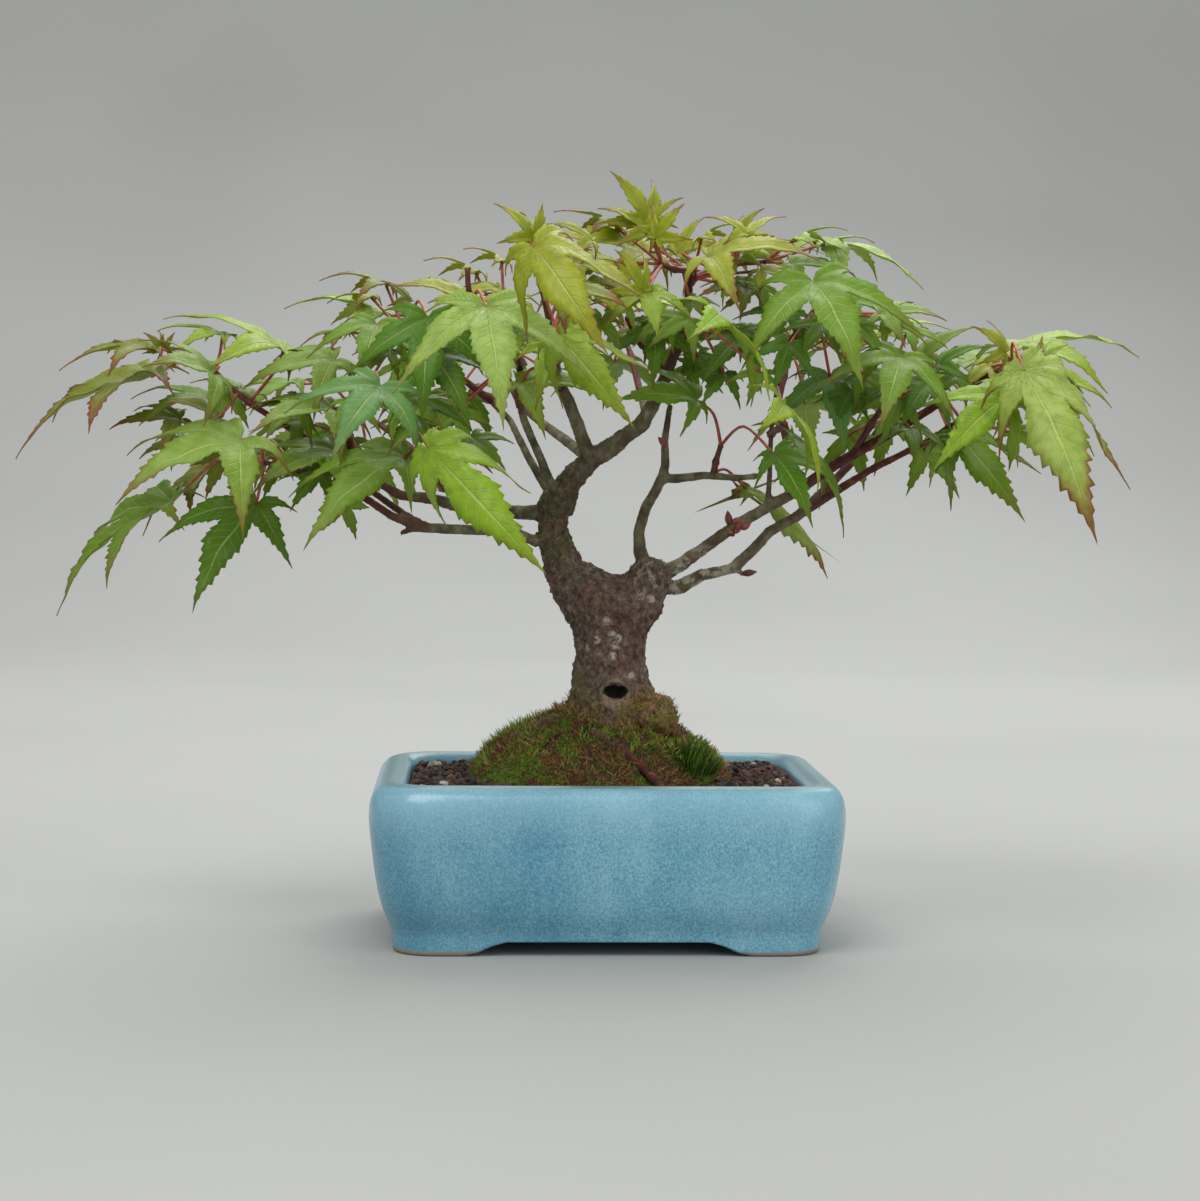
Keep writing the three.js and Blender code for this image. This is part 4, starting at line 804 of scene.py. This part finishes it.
fillers = {         # younger leaves that close the crown, on the same shoots
    "far_left": [
        ((-76, -8, 138), (-104, -8, 147), "up", "lime", 8),
        ((-90, -20, 122), (-102, -28, 126), "high", "olive", 8),
        ((-85, 4, 128), (-100, 10, 132), "up", "mid", 8),
        ((-89, -8, 128), (-84, -12, 120), "front", "mid", 8),
        ((-107, -12, 138), (-128, -14, 134), "left", "olive", -6),
        ((-104, -14, 138), (-108, -16, 142), "front", "olive"),
        ((-103, -14, 138), (-101, -16, 142), "front", "olive"),
    ],
    "left_low": [
        ((-80, -6, 114), (-92, -8, 110), "high", "mid", 8),
        ((-67, -14, 110), (-74, -20, 101), "front", "deep", 8),
        ((-102, 8, 117), (-112, 6, 113), "high", "mid"),
        ((-76, 4, 115), (-82, 0, 103), "front", "deep", 8),
        ((-91, 6, 114), (-96, 4, 103), "front", "olive", 8),
        ((-95, 16, 110), (-113, 14, 95), "left", "olive", -6),
    ],
    "left_middle": [
        ((-64, -14, 136), (-85, -20, 130), "high", "sage", 8),
        ((-51, -24, 138), (-57, -30, 132), "front", "sage", 8),
        ((-72, -8, 122), (-84, -12, 117), "high", "mid", 8),
        ((-48, -30, 126), (-38, -40, 120), "front", "mid", 8),
        ((-60, -2, 118), (-66, 0, 108), "front", "deep", 8),
        ((-72, -16, 126), (-80, -22, 117), "front", "mid", 8),
        ((-66, 12, 120), (-68, 10, 108), "front", "deep", 8),
        ((-60, -34, 126), (-52, -40, 119), "high", "mid", 8),
    ],
    "left_high": [
        ((-42, -34, 145), (-43, -44, 121), "front", "deep", 8),
        ((-48, 6, 144), (-40, 4, 137), "front", "mid", 8),
        ((-62, -4, 143), (-73, -6, 140), "up", "olive", 8),
        ((-36, 4, 151), (-42, 8, 155), "up", "gold", 8),
        ((-52, -4, 154), (-68, -6, 156), "up", "olive"),
        ((-56, 6, 152), (-67, 4, 151), "up", "gold"),
        ((-47, -10, 150), (-53, -12, 155), "high", "olive"),
    ],
    "front_left": [
        ((-44, -30, 122), (-51, -38, 114), "front", "mid", 8),
        ((-32, -22, 118), (-24, -28, 111), "front", "mid", 8),
    ],
    "front_big": [
        ((-26, -30, 152), (-36, -36, 149), "high", "gold", 8),
        ((-21, -30, 143), (-12, -36, 133), "front", "lime", 8),
        ((-36, -20, 141), (-39, -26, 130), "front", "mid", 8),
        ((-31, -24, 156), (-43, -28, 159), "up", "gold", 8),
        ((-25, -30, 158), (-34, -34, 161), "up", "gold", 8),
        ((-21, -34, 149), (-32, -40, 148), "high", "gold", 8),
        ((-33, 6, 129), (-27, 4, 118), "front", "deep", 8),
        ((-36, 0, 125), (-32, -4, 114), "front", "mid", 8),
    ],
    "front_high": [
        ((-12, -40, 151), (3, -50, 147), "high", "olive", 8),
        ((-9, -30, 158), (6, -38, 151), "high", "gold", 8),
        ((-21, -20, 131), (0, -26, 128), "high", "lime", 8),
        ((-2, -20, 146), (-8, -26, 136), "front", "mid", 8),
        ((-5, -30, 163), (-15, -34, 167), "high", "gold", 8),
        ((-19, -66, 160), (-27, -68, 168), "high", "gold"),
        ((-18, -66, 160), (-17, -66, 168), "front", "gold"),
        ((-24, 4, 141), (-18, 2, 131), "front", "mid", 8),
        ((-12, -40, 157), (-5, -44, 161), "high", "gold"),
    ],
    "top_left": [
        ((-3, -24, 159), (-11, -34, 152), "front", "gold", 8),
        ((6, -42, 151), (0, -46, 160), "front", "gold", 8),
        ((9, -22, 168), (16, -24, 174), "high", "gold", 8),
        ((8, 0, 167), (-2, 4, 171), "up", "gold", 8),
        ((3, -20, 150), (-3, -26, 144), "front", "mid", 8),
        ((2, -8, 168), (-13, -10, 172), "up", "olive"),
        ((9, -18, 166), (-3, -20, 172), "high", "gold"),
        ((10, -28, 164), (16, -30, 172), "front", "gold"),
        ((19, -10, 151), (25, -14, 145), "front", "mid", 8),
        ((10, -26, 165), (8, -26, 172), "front", "gold"),
    ],
    "top_right": [
        ((21, -14, 165), (31, -18, 169), "up", "gold", 8),
        ((29, -20, 159), (41, -24, 165), "up", "lime", 8),
        ((35, -20, 154), (25, -26, 148), "front", "mid", 8),
        ((43, -10, 160), (56, -16, 157), "high", "mid", 8),
        ((18, 14, 164), (25, 18, 174), "up", "gold", 8),
        ((31, -20, 166), (22, -22, 170), "high", "gold"),
        ((30, -10, 166), (36, -12, 173), "high", "gold"),
        ((43, -14, 165), (55, -18, 168), "up", "mint"),
        ((51, -6, 165), (63, -8, 166), "up", "mint"),
        ((31, -24, 153), (19, -30, 151), "high", "olive", 8),
        ((34, -28, 157), (42, -34, 153), "high", "gold", 8),
    ],
    "right_high": [
        ((41, -24, 148), (32, -32, 138), "front", "deep", 8),
        ((56, -16, 151), (67, -20, 147), "high", "mid", 8),
        ((59, -20, 134), (66, -26, 127), "front", "mid", 8),
        ((46, 0, 142), (39, -4, 134), "front", "deep", 8),
        ((58, 16, 146), (67, 20, 154), "up", "lime", 8),
        ((40, -34, 140), (36, -40, 129), "front", "deep", 8),
        ((48, -30, 145), (42, -36, 136), "front", "mid", 8),
        ((62, -28, 139), (67, -34, 130), "front", "mid", 8),
        ((56, -34, 144), (52, -40, 133), "front", "mid", 8),
        ((64, -20, 147), (73, -26, 141), "high", "lime", 8),
    ],
    "inner_right": [
        ((18, -22, 146), (8, -28, 139), "front", "mid", 8),
        ((31, -12, 144), (39, -16, 139), "front", "deep", 8),
        ((27, -16, 134), (21, -22, 126), "front", "deep", 8),
        ((35, -22, 134), (31, -28, 126), "front", "mid", 8),
        ((20, 4, 142), (11, 2, 134), "front", "mid", 8),
        ((22, 0, 139), (25, -4, 130), "front", "deep", 8),
        ((14, -16, 146), (5, -20, 140), "high", "mid", 8),
    ],
    "middle_star": [
        ((34, 4, 107), (56, 6, 86), "high", "pale", 62, (0.2, 0.15)),
    ],
    "right_middle": [
        ((64, -16, 131), (53, -22, 122), "front", "mid", 8),
        ((74, -22, 132), (66, -30, 121), "front", "deep", 8),
        ((71, -6, 145), (81, -8, 141), "high", "mid", 8),
        ((77, -18, 136), (88, -22, 141), "high", "deep", 8),
        ((56, -20, 130), (52, -24, 121), "front", "deep", 8),
        ((67, -24, 128), (62, -30, 118), "front", "mid", 8),
        ((82, -16, 134), (74, -22, 128), "front", "mid", 8),
    ],
    "far_right": [
        ((100, -24, 137), (105, -28, 141), "front", "mint", 8),
        ((96, -36, 134), (104, -50, 117), "front", "lime", 8),
        ((91, -26, 139), (83, -30, 145), "front", "gold", 8),
        ((106, -20, 129), (114, -24, 120), "rightward", "gold", 8),
        ((97, -40, 134), (101, -46, 123), "front", "lime", 8),
    ],
    "right_low": [
        ((83, -16, 119), (76, -20, 111), "front", "deep", 8),
        ((96, -10, 121), (105, -14, 114), "front", "mid", 8),
    ],
}
leaf = {
    "seven": [(43, 0.84), (86, 0.56), (130, 0.27)], "five": [(54, 0.82), (108, 0.42)],
    "small": 36, "arch": 0.09, "cup": 0.16, "hangStart": 0.36, "curl": 0.06, "thickness": 0.2, "solid": 0.66,
    "waist": 0.28, "belly": (0.45, 0.14), "point": 1.35, "webRows": 5, "toothPitch": 1.9, "teeth": (4, 12),
    "toothDepth": 0.024, "toothLean": 0.85, "fold": 0.3, "wave": 0.03,
    "tones": {              # the blade's colour, and how red its tips and edges are
        "gold": ("a9ae24", 0.7), "lime": ("9ab62a", 0.4), "spring": ("93b926", 0.35),
        "bright": ("76a01e", 0.3), "mint": ("a6c45c", 0.35), "pale": ("a9bf58", 0.9),
        "sage": ("82a038", 0.6), "mid": ("759a24", 0.45), "blue": ("5f8f48", 0.25),
        "olive": ("7f8429", 1.0), "deep": ("50800f", 0.3), "dark": ("3d6610", 0.3),
    },
}
slide = {"back": 1.6, "rise": 1.2, "steps": (9, 3)}
stem = {"tiny": 21, "petiole": (0.36, 0.44), "bow": 0.12, "bend": 0.45, "shoot": (0.95, 0.6), "swell": 1.35}


def bladeFrame(hub, tip, facing):
    ahead = tip - hub
    length = ahead.length
    ahead.normalize()
    up = Vector(facings[facing])
    up = (up - ahead * up.dot(ahead)).normalized()
    return ahead, ahead.cross(up), up, length


def bladeLobes(length, kept):                   # kept is what the left and right lobes keep of their length
    half = leaf["five"] if length < leaf["small"] else leaf["seven"]
    left, right = [[(turn * math.radians(angle), share * part) for angle, share in half]
                   for turn, part in zip((-1, 1), kept)]
    return left[::-1] + [(0, 1)] + right


def bladeHeight(reach, lobe, angle):
    t = reach / lobe
    return lobe * (leaf["arch"] * 4 * t * (1 - t) - leaf["cup"] * t * t * math.sin(angle) ** 2)


def bladePoint(x, y, height, length, hang):     # folds the blade's two halves down along its main rib
    fold = math.radians(hang) * min(1, abs(y) / (length * leaf["hangStart"]))
    return Vector((x, y * math.cos(fold), height - abs(y) * math.sin(fold)))


# a blade lies where the solid's own lobe tips are
def settledSlide(hub, tip, facing, hang, kept, corners):
    ahead, side, up, length = bladeFrame(hub, tip, facing)
    turn = Matrix((ahead, side, up)).transposed()
    tips = []
    for angle, share in bladeLobes(length, kept):
        lobe = length * share
        x, y, height = lobe * math.cos(angle), lobe * math.sin(angle), bladeHeight(lobe, lobe, angle)
        tips.append(hub + turn @ bladePoint(x, y, height + leaf["solid"] / 2, length, hang))
    backs, rises = (range(-n, n + 1) for n in slide["steps"])
    moves = [Vector((0, back * slide["back"], rise * slide["rise"])) for back in backs for rise in rises]
    return min(moves, key=lambda move: sum(min(corners.find(place + move)[2], 1.5) for place in tips))


def lobeLength(angle, lobes, length):           # the reach of the lobes on either side, blended by angle
    for (low, lowShare), (high, highShare) in zip(lobes, lobes[1:]):
        if angle <= high:
            t = max(0, (angle - low) / (high - low))
            return length * (lowShare + (highShare - lowShare) * t)
    return length * lobes[-1][1]


def halfWidth(along, start, reach):             # from a lobe's cut to its belly, then to a long point
    bellyAt, belly = leaf["belly"][0] * reach, leaf["belly"][1] * reach
    if along < bellyAt:
        t = max(0, (along - start[0]) / max(bellyAt - start[0], 0.001))
        return start[1] + (belly - start[1]) * t * t * (3 - 2 * t)
    return belly * (1 - min(1, (along - bellyAt) / (reach - bellyAt))) ** leaf["point"]


# where each margin leaves the web: along the rib, and out from it
def lobeStarts(lobes, i, length):
    starts = []
    for step in (-1, 1):
        between, cut = math.radians(38), 0.07 * length
        if 0 <= i + step < len(lobes):
            between = abs(lobes[i + step][0] - lobes[i][0]) / 2
            cut = leaf["waist"] * length * min(1, min(lobes[i][1], lobes[i + step][1]) + 0.25)
        starts.append((cut * math.cos(between), cut * math.sin(between)))
    return starts


def addLobe(bm, layers, lobes, i, length, hang, seed):
    angle, reach = lobes[i][0], length * lobes[i][1]
    starts = lobeStarts(lobes, i, length)
    ribStart = (starts[0][0] + starts[1][0]) / 2
    teeth = max(leaf["teeth"][0], min(leaf["teeth"][1], round(reach * 0.7 / leaf["toothPitch"])))
    webRows, rows = leaf["webRows"], leaf["webRows"] + 2 * teeth
    for vert in bmesh.ops.create_grid(bm, x_segments=rows, y_segments=4, size=0.5)["verts"]:
        row, across = round((vert.co.x + 0.5) * rows), -2 * vert.co.y
        start, spread = starts[0] if across < 0 else starts[1], abs(across)
        if row <= webRows:
            t = row / webRows
            rib, edge, width, tooth = t * ribStart, t * start[0], t * start[1], 0
        else:
            t = (row - webRows) / (2 * teeth)
            rib, edge = ribStart + t * (reach - ribStart), start[0] + t * (reach - start[0])
            width = halfWidth(edge, start, reach)
            tooth = (row - webRows) % 2 * min(1, width / reach / 0.05) * spread ** 3
            tooth *= 0.6 if (row - webRows) % 4 == 1 else 1
        x = rib + (edge - rib) * spread + tooth * (reach - ribStart) / (2 * teeth) * leaf["toothLean"]
        y = math.copysign(width * spread + tooth * reach * leaf["toothDepth"], across)
        flat = Vector((math.cos(angle) * x - math.sin(angle) * y, math.sin(angle) * x + math.cos(angle) * y))
        turned, far = math.atan2(flat.y, flat.x), flat.length
        lobe = lobeLength(turned, lobes, length)
        ripple = noise.noise(Vector((flat.x * 0.16, flat.y * 0.16, seed))) * min(1, far / 6)
        height = bladeHeight(min(far, lobe), lobe, turned) + abs(y) * leaf["fold"]
        height += leaf["wave"] * length * ripple
        height -= leaf["curl"] * length * max(0, min(far / lobe, 1.2) - 0.55) ** 2 / 0.2
        vert.co = bladePoint(flat.x, flat.y, height, length, hang)
        vert[layers["along"]], vert[layers["across"]] = x / reach, across


def addBlade(spray, hub, tip, facing, tone, hang, kept, seed):
    ahead, side, up, length = bladeFrame(hub, tip, facing)
    draw = random.Random(seed)
    bm = bmesh.new()
    layers = leafLayers(bm)
    lobes = bladeLobes(length, kept)
    for i in range(len(lobes)):
        addLobe(bm, layers, lobes, i, length, hang, seed)
    code, blush = leaf["tones"][tone]
    light, blush = draw.uniform(0.88, 1.1), blush * draw.uniform(0.7, 1.2)
    bmesh.ops.remove_doubles(bm, verts=bm.verts, dist=0.02)
    bmesh.ops.transform(bm, matrix=Matrix.Translation(hub) @ Matrix((ahead, side, up)).transposed().to_4x4(),
                        verts=bm.verts)
    for vert in bm.verts:
        vert[layers["tone"]] = tuple(c * light for c in colour(code)[:3]) + (1,)
        vert[layers["blush"]] = blush
    bmesh.ops.solidify(bm, geom=bm.faces[:], thickness=leaf["thickness"])
    bmesh.ops.recalc_face_normals(bm, faces=bm.faces)
    pour(bm, spray)


def leafLayers(bm):
    floats, colours = bm.verts.layers.float, bm.verts.layers.float_color
    return {"along": floats.new("along"), "across": floats.new("across"), "blush": floats.new("blush"),
            "tone": colours.new("tone")}


def pour(bm, into):                             # adds one bmesh to another
    mesh = bpy.data.meshes.new("pour")
    bm.to_mesh(mesh)
    bm.free()
    into.from_mesh(mesh)
    bpy.data.meshes.remove(mesh)


def addStem(spray, stations, share):
    bm = bmesh.new()
    layers = leafLayers(bm)
    for face in addTube(bm, stations):
        face.material_index = 1
    for vert in bm.verts:
        vert[layers["along"]] = share
    pour(bm, spray)


def addLeaf(spray, root, hub, tip, facing, tone, hang, kept, seed):
    ahead, side, up, length = bladeFrame(hub, tip, facing)
    addBlade(spray, hub, tip, facing, tone, hang, kept, seed)
    bow = (hub - root).length * (0 if length < stem["tiny"] else stem["bow"])
    bend = hub.lerp(root, stem["bend"]) + Vector((0, 0, bow)) - ahead * bow
    thin, thick = stem["petiole"]
    run = [(*(hub + ahead * 0.5), thin), (*bend, thin), (*root, thick)]
    addStem(spray, spline(run, 5), 1)


def nearest(places, hub):
    return min((Vector(place) for place in places), key=lambda place: (place - hub).length)


def leafRow(hub, tip, facing, tone, hang=6, kept=(1, 1)):
    return Vector(hub), Vector(tip), facing, tone, hang, kept


def makeSpray(name, path, leaves, paints):
    spray = bmesh.new()
    leafLayers(spray)
    corners = KDTree(len(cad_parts["spray_" + name].data.vertices))
    for i, vert in enumerate(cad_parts["spray_" + name].data.vertices):
        corners.insert(potFrame.inverted() @ vert.co, i)
    corners.balance()
    last = len(path) - 1
    stations = [(*place, stem["shoot"][0] + (stem["shoot"][1] - stem["shoot"][0]) * i / last)
                for i, place in enumerate(path)]
    shoot = spline(stations, 4)
    for i, station in enumerate(shoot):
        station[3] *= stem["swell"] if i % 4 == 0 else 1
    addStem(spray, shoot, 0)
    for i, row in enumerate(leaves):
        hub, tip, facing, tone, hang, kept = leafRow(*row)
        root = nearest(path[1:], hub)
        move = settledSlide(hub, tip, facing, hang, kept, corners)
        addLeaf(spray, root, hub + move, tip + move, facing, tone, hang, kept, len(name) * 31 + i * 7)
    for i, row in enumerate(fillers.get(name, [])):
        hub, tip, facing, tone, hang, kept = leafRow(*row)
        root = nearest([station[:3] for station in shoot[1:]], hub)
        addLeaf(spray, root, hub, tip, facing, tone, hang, kept, len(name) * 17 + i * 5)
    bmesh.ops.transform(spray, matrix=potFrame, verts=spray.verts)
    finishPiece("leaves_" + name, spray, paints, ["spray_" + name])


def leafPaint():
    paint = Paint("maple_leaf", {"Specular IOR Level": 0.35})
    along, edge = paint.attribute("along"), paint.attribute("across").absolute()
    tone, blush = paint.attribute("tone", "Color"), paint.attribute("blush")
    rib = 1 - edge.step(0.02, 0.1)
    twill = ((along * 12 - edge * 1.5).fract() - 0.5).absolute()
    veins = (1 - twill.step(0.02, 0.11)) * (1 - edge.step(0.7, 0.95))
    mottle = paint.grain(420, 3)
    tone = paint.mix(tone, paint.mix(tone, "3f7a0c", 0.6), mottle.step(0.42, 0.68) * 0.5)
    tone = paint.mix(tone, "d3e08a", rib * 0.5 + veins * 0.2)
    tips = (along + edge * 0.12 + mottle * 0.2 - 0.1).step(0.6, 1.0)
    rim = edge.step(0.75, 1.0) * along.step(0.2, 0.6) * 0.5
    tone = paint.mix(tone, "8f4a32", ((tips * 0.9 + rim) * blush).step(0, 1.1))
    relief = veins * 0.5 + rib + mottle * 0.3
    paint.feed(colour=tone, roughness=mottle * 0.3 + 0.28, normal=paint.bump(relief * -1, 0.0002))
    glow = paint.node("BsdfTranslucent", {}, {"Color": "c6d422"})
    both = paint.node("MixShader", {}, {0: 0.3, 1: Value(paint, paint.shader.outputs[0]), 2: glow})
    paint.tree.links.new(both.socket, paint.tree.nodes["Material Output"].inputs["Surface"])
    return paint


def stemPaint():                                # old shoots are dark red-brown, petioles light red
    paint = Paint("red_stem", {"Specular IOR Level": 0.45})
    fleck = paint.grain(700, 3)
    young = paint.ramp(fleck, (0.35, "943a2e"), (0.6, "b0604a"), (0.75, "a9824a"))
    old = paint.ramp(fleck, (0.35, "4a201b"), (0.6, "70332a"), (0.75, "7d5038"))
    tint = paint.mix(old, young, paint.attribute("along"))
    return paint.feed(colour=tint, roughness=fleck * 0.2 + 0.38, normal=paint.bump(fleck, 0.0001))


leafPaints = [leafPaint(), stemPaint()]
for name, (path, leaves) in sprays.items():
    makeSpray(name, path, leaves, leafPaints)


# the floor, the light and the camera

studio = {
    "floor": "a9aaa7", "cloud": "a4a5a2", "sky": "e9eaeb", "skyStrength": 0.66,
    "front": -2, "sweepStart": 0.9, "sweepRadius": 0.9, "steps": 16, "height": 4, "width": 6,
    "lamps": [              # name, place in metres, size, power
        ("key", (-0.45, -0.7, 1.2), 0.8, 10), ("fill", (1.1, -0.9, 0.6), 1.2, 6),
        ("back", (0.3, 0.9, 1.0), 0.9, 8), ("wall", (0, 0.6, 1.6), 1.4, 11),
    ],
}
camera = {"place": (-29.918, -649.312, 110.6), "heading": 2.55, "dip": 2.73, "roll": 0.5,
          "lens": 81.25, "sensor": 36}


def makeStage():
    bm = bmesh.new()
    start = [bm.verts.new((x * studio["width"] / 2, studio["front"], 0)) for x in (-1, 1)]
    edges = [bm.edges.new(start)]
    radius = studio["sweepRadius"]
    bend = [math.pi / 2 * k / studio["steps"] for k in range(studio["steps"] + 1)]
    run = [(studio["sweepStart"] + math.sin(a) * radius, radius - math.cos(a) * radius) for a in bend]
    for y, z in run + [(run[-1][0], studio["height"])]:
        grown = bmesh.ops.extrude_edge_only(bm, edges=edges)["geom"]
        verts = [item for item in grown if isinstance(item, bmesh.types.BMVert)]
        edges = [item for item in grown
                 if isinstance(item, bmesh.types.BMEdge) and all(vert in verts for vert in item.verts)]
        for vert in verts:
            vert.co = (vert.co.x, y, z)
    bmesh.ops.recalc_face_normals(bm, faces=bm.faces)
    mesh = bpy.data.meshes.new("studio_sweep")
    bm.to_mesh(mesh)
    bm.free()
    mesh.polygons.foreach_set("use_smooth", [True] * len(mesh.polygons))
    paint = Paint("studio_paper", {"Roughness": 0.9})
    shade = paint.mix(studio["floor"], studio["cloud"], paint.grain(2.5, 2).step(0.4, 0.7))
    mesh.materials.append(paint.feed(colour=shade).material)
    sweep = bpy.data.objects.new("studio_sweep", mesh)
    scene.collection.objects.link(sweep)


def makeLights():
    world = bpy.data.worlds.new("studio_sky")
    world.use_nodes = True
    world.node_tree.nodes["Background"].inputs["Color"].default_value = colour(studio["sky"])
    world.node_tree.nodes["Background"].inputs["Strength"].default_value = studio["skyStrength"]
    scene.world = world
    aim = potMiddle + Vector((0, 0, 0.08))
    for name, place, size, power in studio["lamps"]:
        lamp = bpy.data.lights.new(name, "AREA")
        lamp.size, lamp.energy = size, power
        holder = bpy.data.objects.new(name, lamp)
        holder.location = place
        holder.rotation_euler = (aim - Vector(place)).to_track_quat("-Z", "Y").to_euler()
        scene.collection.objects.link(holder)


def makeCamera():
    heading, dip = math.radians(camera["heading"]), math.radians(camera["dip"])
    ahead = Vector((math.sin(heading) * math.cos(dip), math.cos(heading) * math.cos(dip), -math.sin(dip)))
    lens = bpy.data.cameras.new("view")
    lens.lens, lens.sensor_width, lens.sensor_fit = camera["lens"], camera["sensor"], "HORIZONTAL"
    lens.clip_start, lens.clip_end = 0.05, 20
    eye = bpy.data.objects.new("view", lens)
    roll = Matrix.Rotation(math.radians(camera["roll"]), 4, "Z")
    turn = ahead.to_track_quat("-Z", "Y").to_matrix().to_4x4() @ roll
    eye.matrix_world = Matrix.Translation(potFrame @ Vector(camera["place"])) @ turn
    scene.collection.objects.link(eye)
    scene.camera = eye


scene.view_settings.view_transform = "Standard"
makeStage()
makeLights()
makeCamera()
print("set the studio")
